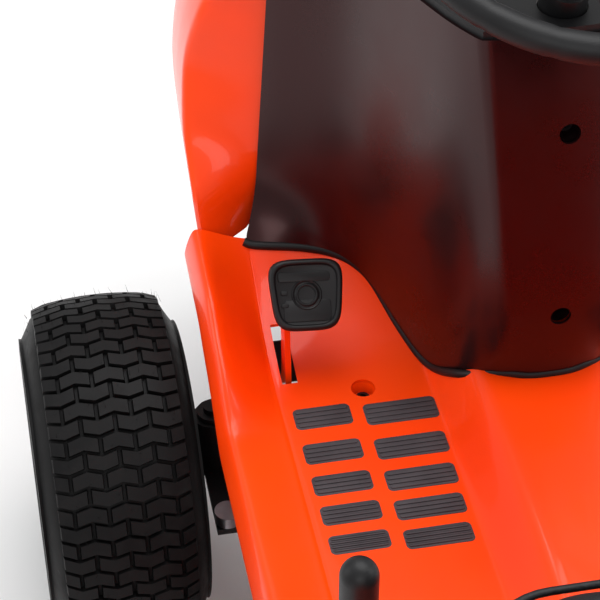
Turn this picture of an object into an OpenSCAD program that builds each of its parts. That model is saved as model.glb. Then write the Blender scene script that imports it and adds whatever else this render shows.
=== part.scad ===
// Riding lawn mower: front-engine lawn tractor with a twin-blade deck between its axles.
// +Y is the driving direction, +X the operator's right, +Z up, and Z = 0 is the ground.

/* [Layout] */
// Overall length, bumper to rear fender
overall_l = 1900; // [1800:10:2100]
// Front axle to the front of the bumper
front_overhang = 460; // [430:5:500]
// Front axle to rear axle
wheelbase = 1180; // [1120:5:1300]

/* [Front wheels] */
// Outer diameter of a front tyre
front_tyre_d = 381; // [360:1:390]
// Width of a front tyre
front_tyre_w = 170; // [150:1:178]
// Distance between the centre planes of the front tyres
front_track = 842; // [820:2:870]
// Diameter of the front rim flange
front_rim_d = 184; // [160:1:210]
// Steering swivel to the tyre's centre plane
kingpin_offset = 111; // [105:1:120]

/* [Rear wheels] */
// Outer diameter of a rear tyre
rear_tyre_d = 508; // [480:1:530]
// Width of a rear tyre
rear_tyre_w = 203; // [170:1:215]
// Distance between the centre planes of the rear tyres
rear_track = 750; // [730:2:780]
// Diameter of the rear rim flange
rear_rim_d = 236; // [210:1:270]

/* [Frame] */
// Distance of each rail's web from the centre line
rail_x = 140; // [130:1:150]
// Height of a rail
rail_h = 55; // [45:1:58]
// Width of a rail's flanges
rail_flange = 42; // [30:1:50]
// Sheet thickness of the rails
rail_t = 4; // [3:0.5:6]
// Underside of the rails above the ground
rail_z = 278; // [270:1:285]

/* [Body panels] */
// Half the width across the footrests
footrest_hw = 322; // [312:1:326]
// Top of the flat part of the footrest
floor_z = 360; // [352:1:372]
// Thickness of the moulded panels
panel_t = 3; // [2.5:0.5:5]
// Half the width of the hood at its rear edge
hood_hw = 312; // [290:1:330]
// Top of the hood at its rear edge
hood_z = 776; // [740:1:780]
// Half the width across the rear fenders
fender_hw = 470; // [440:1:480]
// Top of the rear fenders
fender_z = 562; // [550:1:590]

/* [Footrest pads] */
// Length of a pad along the machine
pad_l = 30; // [22:1:34]
// Height of a pad above the panel
pad_h = 4; // [2:0.5:8]

/* [Pedals] */
// Width of the brake pedal's rubber pad
brake_pad_w = 72; // [60:1:80]
// Length of the brake pedal's rubber pad
brake_pad_l = 72; // [60:1:80]
// Diameter of the pedal pivot
pedal_pin_d = 18; // [14:1:22]

/* [Steering] */
// Diameter of the steering wheel, over the rim
wheel_d = 350; // [320:5:380]
// Thickness of the steering wheel's rim
wheel_rim_d = 26; // [20:1:30]
// Diameter of the steering shaft
shaft_d = 20; // [16:1:24]
// Lean of the steering column towards the operator
column_lean = 20; // [15:1:25]

/* [Mowing deck] */
// Radius swept by each blade
blade_r = 205; // [180:1:208]
// Gap between the two blade circles
blade_gap = 10; // [6:1:20]
// Height of the deck's skirt above the ground
skirt_z = 62; // [55:1:75]
// Height of the deck shell
deck_h = 103; // [90:1:108]
// Sheet thickness of the deck
deck_t = 3; // [2.5:0.5:5]
// Diameter of the blade spindles
spindle_d = 25; // [20:1:30]

/* [Seat] */
// Width of the seat
seat_w = 470; // [420:5:500]
// Height of the seat's backrest
back_h = 330; // [280:5:360]

/* [Drawbar] */
// Diameter of the drawbar pin's hole
hitch_d = 19; // [16:1:22]
// Thickness of the drawbar plate
hitch_t = 6; // [5:1:10]

/* [Hidden] */
$fn = 48;
orange = [0.98, 0.27, 0.04];
black = [0.09, 0.09, 0.1];
rubber = [0.14, 0.14, 0.15];
steel = [0.62, 0.63, 0.65];
running_gap = 0.05;
part_gap = 0.5;
front_y = overall_l / 2 - front_overhang;
rear_y = front_y - wheelbase;
front_wheel_x = front_track / 2;
rear_wheel_x = rear_track / 2;
front_r = front_tyre_d / 2;
rear_r = rear_tyre_d / 2;
kingpin_x = front_wheel_x - kingpin_offset;
rail_top = rail_z + rail_h;
floor_back = front_y - 580;
floor_front = front_y + 58;
toe_start = front_y - 118;

// ---- helpers ----
function sq(v) = v * v;
function signed_pow(v, p) = sign(v) * pow(abs(v), p);
function grid_normal(g, i, j) =
    let(n = len(g) - 1, m = len(g[0]) - 1,
        a = g[min(i + 1, n)][j] - g[max(i - 1, 0)][j],
        b = g[i][min(j + 1, m)] - g[i][max(j - 1, 0)],
        c = cross(b, a))
    c / max(norm(c), 1e-6);

// A thin wall, t thick, under a grid of points whose rows run backwards or upwards round the part.
module sheet(g, t) {
    n = len(g);
    m = len(g[0]);
    outer = [for (i = [0:n - 1]) for (j = [0:m - 1]) g[i][j]];
    inner = [for (i = [0:n - 1]) for (j = [0:m - 1]) g[i][j] - t * grid_normal(g, i, j)];
    k = n * m;
    top = [for (i = [0:n - 2]) for (j = [0:m - 2])
        let(a = i * m + j, b = a + m) each [[a, b, b + 1], [a, b + 1, a + 1]]];
    bottom = [for (f = top) [k + f[0], k + f[2], k + f[1]]];
    loop = concat([for (j = [0:m - 1]) j], [for (i = [1:n - 1]) i * m + m - 1],
        [for (j = [m - 2:-1:0]) (n - 1) * m + j], [for (i = [n - 2:-1:1]) i * m]);
    count = len(loop);
    rim = [for (q = [0:count - 1]) let(a = loop[q], b = loop[(q + 1) % count])
        each [[a, b, k + a], [b, k + b, k + a]]];
    polyhedron(concat(outer, inner), concat(top, bottom, rim));
}

module tube_x(d, x0, x1) {
    translate([x0, 0, 0]) rotate([0, 90, 0]) cylinder(d = d, h = x1 - x0);
}

module tube_y(d, y0, y1) {
    translate([0, y0, 0]) rotate([-90, 0, 0]) cylinder(d = d, h = y1 - y0);
}

module rounded_box(size, r) {
    linear_extrude(size[2]) offset(r) square([size[0] - 2 * r, size[1] - 2 * r], center = true);
}

module mirrored() {
    children();
    mirror([1, 0, 0]) children();
}

// ---- frame ----
rail_front = overall_l / 2 - 78;
rail_back = -overall_l / 2 + 55;

module rail() {
    translate([rail_x, rail_back, rail_z]) rotate([90, 0, 180])
        linear_extrude(rail_front - rail_back) polygon([[0, 0], [rail_flange, 0], [rail_flange, rail_t],
            [rail_t, rail_t], [rail_t, rail_h - rail_t], [rail_flange, rail_h - rail_t],
            [rail_flange, rail_h], [0, rail_h]]);
}

module cross_member(y, w) {
    translate([-rail_x + rail_t, y, rail_z + rail_t])
        cube([2 * (rail_x - rail_t), w, rail_h - 2 * rail_t]);
}

pivot_z = 226;
pivot_d = 22;
beam_l = 46;
module frame_rails() color(black) difference() {
    union() {
        mirrored() rail();
        cross_member(rail_front - 40, 40);
        cross_member(front_y - 150, 40);
        cross_member(-200, 40);
        cross_member(rail_back + 4, 40);
        // two ears and a pin that carry the front axle
        for (y = [front_y - beam_l / 2 - 11, front_y + beam_l / 2 + 1])
            translate([-35, y, pivot_z - 24]) cube([70, 10, rail_z + rail_t + 4 - pivot_z + 24]);
        for (y = [front_y - beam_l / 2 - 11, front_y + beam_l / 2 + 1])
            translate([-rail_x + rail_t, y, rail_z + rail_t]) cube([2 * (rail_x - rail_t), 10, 20]);
        translate([0, 0, pivot_z]) tube_y(pivot_d, front_y - beam_l / 2 - 18, front_y + beam_l / 2 + 18);
        // posts under the floor and the fender
        mirrored() for (y = [front_y - 220, front_y - 520])
            translate([rail_x - 30, y, rail_top - 1]) cube([30, 40, floor_z - panel_t - rail_top + 1]);
        mirrored() for (p = [[rear_y + 210, fender_z - 0.8], [rear_y - 170, fender_z - 1.6]])
            translate([rail_x - 4, p[0], rail_z]) cube([24, 24, p[1] - rail_z]);
        // guides for the deck's hanger rods
        mirrored() for (y = [deck_y - 150, deck_y + 150])
            translate([rod_x, y, rail_z]) {
                cylinder(d = 24, h = 22);
                translate([-17, -12, 0]) cube([12, 24, 22]);
            }
        // rear plate that the drawbar bolts to
        translate([-rail_x, rail_back - 6, rail_z - 40]) cube([2 * rail_x, 6, rail_h + 40]);
    }
    mirrored() for (y = [deck_y - 150, deck_y + 150])
        translate([rod_x, y, rail_z - 10]) cylinder(d = 12 + 2 * running_gap, h = 50);
}

module front_bumper() color(black) {
    y = overall_l / 2 - 17;
    translate([0, 0, 330]) mirrored() {
        translate([0, y, 0]) tube_x(26, 0, 190);
        translate([190, y, -82]) cylinder(d = 30, h = 98);
    }
    translate([-190, y, 262]) tube_x(26, 0, 380);
    mirrored() translate([rail_x, rail_front - 30, 292]) cube([8, y - rail_front + 30, 36]);
    hood_brackets();
}

pedal_y = front_y - 72;
pedal_z = rail_z + 22;
pedal_x = 242;
module pedal_shafts() color(steel) {
    mirrored() translate([0, pedal_y, pedal_z]) {
        tube_x(pedal_pin_d, rail_x, pedal_x + 10);
        tube_x(pedal_pin_d + 14, rail_x, rail_x + 12);
    }
    lever_shafts();
}

// ---- engine and drive ----
engine_y = front_y + 205;
engine_base = rail_top;
module engine_block() color([0.22, 0.22, 0.23]) difference() {
    union() {
    translate([-125, engine_y - 115, engine_base]) cube([250, 230, 14]);
    translate([0, engine_y, engine_base + 14]) cylinder(r = 100, h = 90);
    translate([0, engine_y, engine_base + 104]) cylinder(r = 108, h = 62);
    for (i = [0:9])
        translate([0, engine_y, engine_base + 166]) rotate(i * 36) translate([58, -4, 0]) cube([40, 8, 12]);
    translate([0, engine_y, engine_base + 166]) cylinder(r = 42, h = 20);
    // finned cylinder, lying towards the nose
    translate([-45, engine_y + 60, engine_base + 24]) cube([90, 92, 78]);
    for (i = [0:6])
        translate([-60, engine_y + 96 + i * 8, engine_base + 18]) cube([120, 4, 90]);
    }
    translate([0, engine_y, engine_base - 1]) cylinder(d = 25 + 2 * running_gap, h = 15);
}

module muffler() color([0.35, 0.34, 0.33]) {
    translate([0, engine_y + 10, engine_base + 40]) {
        translate([-170, 0, 0]) tube_y(62, -75, 75);
        difference() {
            translate([-150, 40, 0]) tube_x(24, 0, 70);
            translate([0, -10, -60]) cylinder(r = 100 + running_gap, h = 120);
        }
    }
}

module air_cleaner() color(black)
    translate([152, engine_y + 15, engine_base + 70]) {
        rounded_box([78, 150, 50], 16);
        translate([0, 0, 50]) cylinder(d = 30, h = 14);
        translate([-44, -15, 12]) cube([9, 30, 26]);
    }

module engine_pulley() color(steel) {
    translate([0, engine_y, rail_z - 90]) cylinder(d = 25, h = engine_base - rail_z + 100);
    translate([0, engine_y, rail_z - 86]) rotate_extrude() polygon([[12, 0], [55, 0], [55, 3], [44, 9],
        [55, 15], [55, 18], [12, 18]]);
}

module side_panels() color(black)
    mirrored() difference() {
        union() {
            translate([205, front_y + 84, rail_top]) cube([5, 250, 112]);
            translate([127, front_y + 110, rail_top]) cube([79, 40, 3]);
        }
        for (i = [0:7])
            translate([200, front_y + 112 + i * 26, rail_top + 24]) cube([20, 10, 66]);
    }

module battery() color(black)
    translate([0, floor_back - 130, rail_top]) {
        rounded_box([200, 128, 150], 6);
        for (x = [-60, 60])
            translate([x, -40, 150]) cylinder(d = 14, h = 14);
    }

tank_y = rear_y - 130;
cap_x = -85;
tank_w = 250;
module fuel_tank() color([0.9, 0.9, 0.86]) {
    translate([0, tank_y, rail_top]) rounded_box([tank_w, 160, 130], 28);
    translate([cap_x, tank_y, rail_top + 130]) cylinder(d = 44, h = fender_z + 8 - rail_top - 130);
}

module fuel_cap() color(black)
    translate([cap_x, tank_y, fender_z + 8]) difference() {
        cylinder(d = 66, h = 22);
        for (a = [0:30:330])
            rotate(a) translate([34, 0, -1]) cylinder(d = 7, h = 24);
    }

axle_z = rear_r;
rear_shaft_d = 24;
module transaxle() color([0.55, 0.56, 0.58]) difference() {
    union() {
        translate([-86, rear_y - 95, axle_z - 72]) cube([172, 190, 128]);
        translate([0, rear_y + 62, axle_z + 50]) cylinder(d = 40, h = 24);
        translate([0, rear_y, axle_z]) tube_x(46, -rear_wheel_x + 92, rear_wheel_x - 92);
        mirrored() translate([rail_x - 34, rear_y - 30, axle_z]) cube([28, 60, rail_z - axle_z]);
    }
    translate([0, rear_y, axle_z])
        tube_x(rear_shaft_d + 2 * running_gap, -rear_wheel_x, rear_wheel_x);
}

hitch_z = rail_z - 8;
hitch_y = rail_back - 30;
module hitch_plate() color(black) difference() {
    union() {
        translate([-60, rail_back - 50, hitch_z - 26]) cube([120, 38, hitch_t]);
        translate([-80, rail_back - 12, hitch_z - 26]) cube([160, 6, 44]);
    }
    translate([0, hitch_y, hitch_z - 50]) cylinder(d = hitch_d, h = 60);
}

// ---- footrest, floor and tunnel ----
function floor_height(y) = floor_z + 97 * sq(max(0, y - toe_start) / 200);
function wheel_clear(y) =
    let(c = abs(y - front_y), r = front_r + 12)
    front_r + (c < r ? sqrt(r * r - c * c) : 0) + 10;
function skirt_height(y) = y > front_y - 46
    ? 408 + max(0, y - front_y + 46) * 0.16
    : max(floor_z - 22, wheel_clear(y));
function tunnel_height(y) = 412 - 0.06 * max(0, front_y - 175 - y) + 0.10 * max(0, y - front_y + 175);
// one side of a section, from the outer bottom edge to the centre line
function panel_side(y) =
    let(f = floor_height(y), s = skirt_height(y), lip = max(f + 2, s + 30),
        top = max(tunnel_height(y), f + 6))
    [[footrest_hw, s], [footrest_hw - 2, s + 0.5 * (lip - s)], [footrest_hw - 6, lip - 3],
     [footrest_hw - 12, lip + 1], [footrest_hw - 20, lip + 2], [footrest_hw - 28, lip + 1],
     [footrest_hw - 34, (f + lip) / 2], [footrest_hw - 42, f], [footrest_hw - 70, f], [200, f], [150, f],
     [104, f], [96, f + 0.1 * (top - f)], [86, f + 0.4 * (top - f)], [70, f + 0.82 * (top - f)],
     [56, f + 0.97 * (top - f)], [30, top], [0, top + 2]];
function panel_row(y) =
    let(a = panel_side(y), n = len(a))
    concat([for (p = a) [-p[0], y, p[1]]], [for (i = [n - 2:-1:0]) [a[i][0], y, a[i][1]]]);
slot_y0 = front_y - 91;
slot_y1 = front_y - 24;
slot_w = 15;
lift_x = 300;
screw_x = 171;
screw_y = front_y - 110;
module footrest_panel() color(orange) difference() {
    sheet([for (i = [0:26]) panel_row(floor_back + (floor_front - floor_back) * i / 26)], panel_t);
    mirrored() translate([pedal_x - slot_w / 2, slot_y0, floor_z - 30]) cube([slot_w, slot_y1 - slot_y0, 90]);
    mirrored() translate([screw_x, screw_y, floor_z - 30]) cylinder(d = 8, h = 60);
    on_column(560) cylinder(d = 50, h = 160);
}

pad_rows = [143, 193, 237, 277, 315];
module foot_pad(x0, x1, y, l) {
    linear_extrude(pad_h) translate([(x0 + x1) / 2, y])
        offset(3.5) square([x1 - x0 - 7, l - 7], center = true);
    for (i = [0:3])
        translate([x0 + 5, y - l / 2 + 4.2 + i * (l - 8.4 - 3) / 3, pad_h]) cube([x1 - x0 - 10, 3, 1.2]);
}

module pad_set() translate([0, 0, floor_z])
    for (i = [0:4]) {
        y = front_y - pad_rows[i];
        foot_pad(190, 248, y, pad_l - 1.5 * i);
        foot_pad(104 + 2 * i, 178, y - 6, pad_l + 1 - 1.5 * i);
    }

module foot_pads_left() color(rubber) mirror([1, 0, 0]) pad_set();

module foot_pads_right() color(rubber) pad_set();

module panel_screws() color(black)
    mirrored() translate([screw_x, screw_y, floor_z + 1]) {
        cylinder(d = 16, h = 3);
        translate([0, 0, -14]) cylinder(d = 7, h = 14);
    }

// ---- rear fender ----
fender_front = floor_back - 4;
fender_back = -overall_l / 2 + 6;
// path of a section from the floor, up the front wall, over the top and down the tail
fender_path = [[0, floor_z + 2, 0], [-8, floor_z + 40, 0], [-30, fender_z - 34, 0.02],
    [-42, fender_z - 12, 0.06],
    [-64, fender_z - 1, 0.1], [-110, fender_z, 0.2], [-180, fender_z, 0.45], [-280, fender_z, 0.86],
    [-380, fender_z, 1], [-480, fender_z + 2, 1], [-600, fender_z + 4, 1], [-700, fender_z + 3, 0.98]];
fender_tail = [[40, fender_z - 4, 0.9], [16, fender_z - 20, 0.8], [2, fender_z - 60, 0.74],
    [0, fender_z - 120, 0.7]];
function fender_row(y, z, k) =
    let(w = footrest_hw - 14 + k * (fender_hw - footrest_hw + 14),
        drop = min(56, z - floor_z - 1) * (0.25 + 0.75 * k))
    let(a = [[w, z - drop], [w - 3, z - 0.5 * drop], [w - 10, z - 0.16 * drop], [w - 22, z - 0.02 * drop],
        [w - 40, z],
        [0.8 * w, z + 1], [0.62 * w, z + 2], [0.42 * w, z + 2.5], [0.2 * w, z + 3]])
    concat([for (p = a) [-p[0], y, p[1]]], [[0, y, z + 3]], [for (i = [8:-1:0]) [a[i][0], y, a[i][1]]]);
lift_y = fender_front - 70;
lift_slot = 130;
module rear_fender() color(orange) difference() {
    sheet(concat([for (i = [3:-1:0]) let(p = fender_tail[i]) fender_row(fender_back + p[0], p[1], p[2])],
        [for (i = [11:-1:0]) let(p = fender_path[i]) fender_row(fender_front + p[0], p[1], p[2])]), panel_t);
    mirrored() translate([lift_x - 9, lift_y - lift_slot, fender_z - 30]) cube([18, lift_slot + 24, 60]);
    translate([cap_x, tank_y, fender_z - 30]) cylinder(d = 50, h = 60);
}

// ---- dash cowl ----
function panel_at(x, y) = let(a = panel_side(y), n = len(a)) lookup(abs(x), [for (i = [n - 1:-1:0]) a[i]]);
cowl_base = [[262, 56], [250, 52], [205, 46], [172, 38], [150, 26], [134, 6], [117, -40], [99, -92],
    [80, -142], [44, -168], [22, -176], [0, -178]];
cowl_mid = [[240, 94], [228, 84], [190, 61], [164, 38], [146, 10], [131, -24], [112, -76], [91, -128],
    [73, -162], [52, -184], [28, -188], [0, -189]];
cowl_top = [[222, 98], [212, 88], [184, 64], [163, 44], [147, 16], [134, -16], [117, -62], [103, -98],
    [92, -120], [80, -140], [42, -146], [0, -148]];
cowl_mid_z = 510;
cowl_seat = 5.5;
cowl_lift = [0, 0, 0, 0, 0, 0, 0, 3, 6, 4, 1, 0];
dash_z = 785;
function blend3(i, t) = t < 0.3
    ? let(k = t / 0.3) cowl_base[i] * (1 - k) * (1 - k) + cowl_mid[i] * (1 - sq(1 - k))
    : let(k = (t - 0.3) / 0.7) cowl_mid[i] * (1 - k) + cowl_top[i] * k;
function cowl_point(i, t) =
    let(p = blend3(i, t), base = cowl_base[i],
        z0 = panel_at(base[0], front_y + base[1]) + cowl_seat + cowl_lift[i],
        z = t < 0.3 ? z0 + (cowl_mid_z - z0) * t / 0.3 : cowl_mid_z + (dash_z - cowl_mid_z) * (t - 0.3) / 0.7)
    [-p[0], front_y + p[1], z];
function flip(p) = [-p[0], p[1], p[2]];
function cowl_row(t) = let(a = [for (i = [0:11]) cowl_point(i, t)])
    concat(a, [for (i = [10:-1:0]) flip(a[i])]);
module dash_cowl() color(black) difference() {
    sheet([for (t = [0, 0.04, 0.1, 0.17, 0.24, 0.3, 0.38, 0.48, 0.6, 0.72, 0.85, 1]) cowl_row(t)], panel_t);
    for (z = [499, 691])
        translate([0, 0, z]) tube_y(9, front_y - 220, front_y - 100);
}

hub_y = front_y - 160;
hub_z = 930;
module on_column(t) translate([0, hub_y, hub_z]) rotate([column_lean, 0, 0]) translate([0, 0, -t]) children();

key_x = 100;
switch_x = 145;
throttle_x = -100;
dash_y = front_y - 6;
module dash_panel() color(black) difference() {
    translate([0, front_y, dash_z]) linear_extrude(8)
        polygon(concat([for (p = cowl_top) [-p[0], p[1]]], [for (i = [10:-1:0]) cowl_top[i]]));
    on_column(320) cylinder(d = 46, h = 320);
    translate([key_x, dash_y, dash_z - 10]) cylinder(d = 14.2, h = 30);
    translate([switch_x, dash_y + 60, dash_z - 10]) cylinder(d = 20.2, h = 30);
    translate([throttle_x - 3.7, dash_y - 32, dash_z - 10]) cube([7.4, 84, 30]);
}

column_t = 618;
module steering_column() color(black) {
    difference() {
        union() {
            on_column(560) cylinder(d = 38, h = 440);
            on_column(146) cylinder(d1 = 44, d2 = 40, h = 26);
            on_column(580) cylinder(d = 64, h = 24);
            translate([-rail_x, front_y + 24, rail_top]) cube([2 * rail_x, 60, 6]);
            translate([-40, front_y + 20, rail_top + 6]) cube([80, 56, 40]);
        }
        on_column(column_t + 30) cylinder(d = shaft_d + 2 * running_gap, h = 560);
    }
}

module steering_shaft() color(steel) on_column(column_t) {
    cylinder(d = shaft_d, h = column_t - 8);
}

module steering_wheel() color(black) on_column(0) difference() {
    union() {
        rotate_extrude($fn = 96)
            translate([(wheel_d - wheel_rim_d) / 2, 0]) circle(d = wheel_rim_d, $fn = 24);
        translate([0, 0, -44]) cylinder(d = 84, h = 30);
        translate([0, 0, -14]) cylinder(d1 = 84, d2 = 70, h = 10);
        translate([0, 0, -96]) cylinder(d = 34, h = 52);
        for (a = [-90, 30, 150])
            rotate(a) translate([30, 0, -22]) rotate([0, -6.5, 0]) translate([0, -20, -5])
                cube([wheel_d / 2 - 40, 40, 10]);
    }
    translate([0, 0, -100]) cylinder(d = shaft_d, h = 92.5);
}

module ignition_key() color(steel) translate([key_x, dash_y, dash_z - 8]) {
    cylinder(d = 14, h = 20);
    translate([-2, -11, 20]) cube([4, 22, 20]);
}

module throttle_lever() color(black) translate([throttle_x, dash_y + 10, dash_z - 22]) {
    tube_x(16, -3, 3);
    translate([-3, -5, 0]) cube([6, 10, 60]);
    translate([0, 0, 58]) rounded_box([22, 26, 20], 6);
}

module blade_switch() color([0.95, 0.75, 0.1]) translate([switch_x, dash_y + 60, dash_z - 6]) {
    cylinder(d = 20, h = 26);
    translate([0, 0, 26]) cylinder(d = 34, h = 12);
}

// ---- hood ----
hood_back = front_y + 104.6;
hood_front = overall_l / 2 - 40;
hood_rise = 454;
function hood_row(s) =
    let(w = hood_hw * (1 - 0.05 * s - 0.15 * pow(s, 5)), b = hood_rise - 14 * s,
        h = hood_z - 110 * s * s - 96 * pow(s, 6), y = hood_back + (hood_front - hood_back) * s)
    [for (i = [0:32]) let(a = 180 * i / 32)
        [-w * signed_pow(cos(a), 0.5), y - 40 * sq(1 - s) * (1 - pow(sin(a), 0.8)),
            b + (h - b) * pow(max(0, sin(a)), 0.62)]];
// the rear edge turns in towards the cowl, and stays clear of it
return_x = 0.89;
return_z = 0.95;
hood_return = [for (p = hood_row(0))
    [return_x * p[0], p[1] + 4, hood_rise + return_z * (p[2] - hood_rise)]];
module hood_shell() color(orange)
    sheet([hood_return, for (s = [0, 0.06, 0.16, 0.28, 0.4, 0.52, 0.64, 0.75, 0.84, 0.91, 0.96, 1])
        hood_row(s)], panel_t);

hinge_y = overall_l / 2 - 62;
hinge_z = 385;
hinge_x = 100;
hinge_d = 12;
nose_w = hood_hw * 0.8;
nose_b = hood_rise - 14;
nose_h = hood_z - 206;
function nose_outline(inset) = [for (i = [0:32]) let(a = 180 * i / 32)
    [-(nose_w - inset) * signed_pow(cos(a), 0.5),
        nose_b + (nose_h - nose_b - inset) * pow(max(0, sin(a)), 0.62)]];
lamp_x = 165;
lamp_z = nose_b + 66;
module front_grille() color(black) difference() {
    union() {
        translate([0, hood_front - 1, 0]) rotate([90, 0, 0])
            linear_extrude(12) polygon(nose_outline(panel_t + 0.6));
        mirrored() translate([hinge_x - 5, hinge_y - 13, hinge_z]) cube([10, 44, nose_b - hinge_z + 2]);
        mirrored() translate([0, hinge_y, hinge_z]) tube_x(26, hinge_x - 5, hinge_x + 5);
    }
    for (i = [0:6])
        translate([-92, hood_front - 20, nose_b + 14 + i * 13]) cube([184, 30, 6]);
    mirrored() translate([lamp_x, 0, lamp_z]) tube_y(68, hood_front - 20, hood_front + 10);
    mirrored() translate([0, hinge_y, hinge_z]) tube_x(hinge_d + 2 * running_gap, hinge_x - 20, hinge_x + 20);
}

module headlight_lenses() color([0.9, 0.93, 0.95])
    mirrored() translate([lamp_x, 0, lamp_z]) tube_y(68, hood_front - 13, hood_front + 2);

// the hood's hinge brackets, part of the bumper
module hood_brackets() mirrored() translate([0, hinge_y, hinge_z]) {
    for (x = [hinge_x - 18, hinge_x + 6])
        translate([x, -16, 292 - hinge_z]) cube([12, 30, hinge_z - 292 + 12]);
    tube_x(hinge_d, hinge_x - 18, hinge_x + 18);
}

// ---- front axle and steering ----
kingpin_d = 20;
stub_d = 19;
arm_l = 90;
module front_axle() color(black) difference() {
    union() {
        translate([-kingpin_x + 12, front_y - beam_l / 2, pivot_z - 20])
            cube([2 * kingpin_x - 24, beam_l, 40]);
        mirrored() translate([kingpin_x, front_y, pivot_z - 23]) cylinder(d = 42, h = 48);
    }
    translate([0, 0, pivot_z]) tube_y(pivot_d + 2 * running_gap, front_y - beam_l, front_y + beam_l);
    mirrored() translate([kingpin_x, front_y, pivot_z - 40])
        cylinder(d = kingpin_d + 2 * running_gap, h = 90);
}

module spindle() translate([kingpin_x, front_y, 0]) {
    translate([0, 0, front_r - 18]) cylinder(d = kingpin_d, h = 92);
    translate([0, 0, front_r - 18]) cylinder(d = 36, h = pivot_z - 23 - part_gap - front_r + 18);
    translate([0, 0, pivot_z + 25 + part_gap]) cylinder(d = 34, h = 6);
    translate([0, 0, front_r]) tube_x(stub_d, 0, kingpin_offset + 44);
    translate([-13, -arm_l - 13, front_r - 18]) cube([26, arm_l + 13, 8]);
}

module spindle_left() color(steel) mirror([1, 0, 0]) spindle();

module spindle_right() color(steel) spindle();

module tie_rod() color(steel) translate([0, front_y - arm_l, front_r - 10 + part_gap]) {
    translate([0, 0, 7]) tube_x(14, -kingpin_x + 10, kingpin_x - 10);
    mirrored() translate([kingpin_x, 0, 0]) cylinder(d = 28, h = 14);
}

// ---- wheels ----
// a tyre's section: bead, bulging sidewall, round shoulder and crowned tread
module tyre(r, w, bead_r, bead_w) {
    h = w / 2;
    wall = r - bead_r;
    half = [[bead_r, bead_w], [bead_r + 11, bead_w], [bead_r + 13, bead_w + 6], [bead_r + 0.32 * wall, h - 4],
        [bead_r + 0.5 * wall, h], [bead_r + 0.72 * wall, h - 1.5], [r - 16, h - 6], [r - 9, h - 13],
        [r - 4.5, h - 26], [r - 1.2, 0.36 * h], [r, 0]];
    rotate([0, 90, 0]) rotate_extrude($fn = 96)
        polygon(concat(half, [for (i = [9:-1:0]) [half[i][0], -half[i][1]]]));
}

seat_gap = 0.02;
module rim(r, bead_r, bead_w, hub_l, bore, dish) rotate([0, 90, 0]) difference() {
    union() {
        rotate_extrude($fn = 96) polygon([[bead_r - 6, -bead_w], [r, -bead_w - 4], [r, -bead_w - seat_gap],
            [bead_r, -bead_w - seat_gap], [bead_r, bead_w + seat_gap], [r, bead_w + seat_gap],
            [r, bead_w + 4], [bead_r - 6, bead_w], [bead_r - 9, bead_w - 8], [bead_r - 9, -bead_w + 8]]);
        translate([0, 0, dish]) cylinder(r = bead_r - 5, h = 4);
        translate([0, 0, dish - hub_l]) cylinder(d = bore + 24, h = hub_l + 16);
    }
    if (bore > 0)
        translate([0, 0, -200]) cylinder(d = bore, h = 400);
    for (a = [0:72:288])
        rotate(a) translate([bead_r * 0.58, 0, dish - 1]) cylinder(d = bead_r * 0.22, h = 6);
}

front_bead_r = front_rim_d / 2 - 9;
front_bead_w = front_tyre_w / 2 - 22;
rear_bead_r = rear_rim_d / 2 - 10;
rear_bead_w = rear_tyre_w / 2 - 24;
module front_wheel(side) translate([side * front_wheel_x, front_y, front_r]) children();

module rear_wheel(side) translate([side * rear_wheel_x, rear_y, rear_r]) children();

module front_rim() difference() {
    union() {
        rim(front_rim_d / 2, front_bead_r, front_bead_w, 30, stub_d + 2 * running_gap, 4);
        rotate([0, 90, 0]) translate([0, 0, 20]) cylinder(d = stub_d + 24, h = 32);
    }
    tube_x(stub_d + 2 * running_gap, -80, 46);
}

module rear_rim() {
    rim(rear_rim_d / 2, rear_bead_r, rear_bead_w, 30, rear_shaft_d, 2);
    tube_x(rear_shaft_d, -rear_wheel_x + 96, 24);
    translate([0, 0, 0]) tube_x(rear_shaft_d + 24, 16, 30);
}

module tyre_front_left() color(rubber)
    front_wheel(-1) tyre(front_r, front_tyre_w, front_bead_r, front_bead_w);

module tyre_front_right() color(rubber)
    front_wheel(1) tyre(front_r, front_tyre_w, front_bead_r, front_bead_w);

module tyre_rear_left() color(rubber) rear_wheel(-1) tyre(rear_r, rear_tyre_w, rear_bead_r, rear_bead_w);

module tyre_rear_right() color(rubber) rear_wheel(1) tyre(rear_r, rear_tyre_w, rear_bead_r, rear_bead_w);

module rim_front_left() color(black) front_wheel(-1) mirror([1, 0, 0]) front_rim();

module rim_front_right() color(black) front_wheel(1) front_rim();

module rim_rear_left() color(black) rear_wheel(-1) mirror([1, 0, 0]) rear_rim();

module rim_rear_right() color(black) rear_wheel(1) rear_rim();

// ---- pedals ----
pad_tilt = 46;
pad_y = 6;
pad_z = 158;
module pedal_arm() translate([0, pedal_y, pedal_z]) difference() {
    union() {
        tube_x(34, pedal_x - 8, pedal_x + 8);
        translate([pedal_x - 3, 0, 0]) rotate([90, 0, 90])
            linear_extrude(6) polygon([[-14, 0], [-8, 84], [pad_y - 8, pad_z - 30],
                [pad_y + 2.6, pad_z - 13.8], [pad_y + 13.8, pad_z - 2.2], [pad_y + 12, pad_z - 26],
                [14, 76], [14, 0]]);
        translate([0, pad_y, pad_z]) rotate([pad_tilt, 0, 0])
            translate([pedal_x - 40, -22, -14]) cube([44, 44, 5]);
    }
    tube_x(pedal_pin_d + 2 * running_gap, pedal_x - 20, pedal_x + 20);
}

module pedal_pad(w, l) translate([0, pedal_y + pad_y, pedal_z + pad_z]) rotate([pad_tilt, 0, 0])
    translate([pedal_x - 22, 0, -9]) rounded_box([w, l, 9], 12);

module brake_arm() color(orange) mirror([1, 0, 0]) pedal_arm();

module brake_pad() color(rubber) mirror([1, 0, 0]) pedal_pad(brake_pad_w, brake_pad_l);

module drive_pedal() color(black) pedal_arm();

module drive_pad() color(rubber) pedal_pad(brake_pad_w + 6, brake_pad_l + 14);

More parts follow.
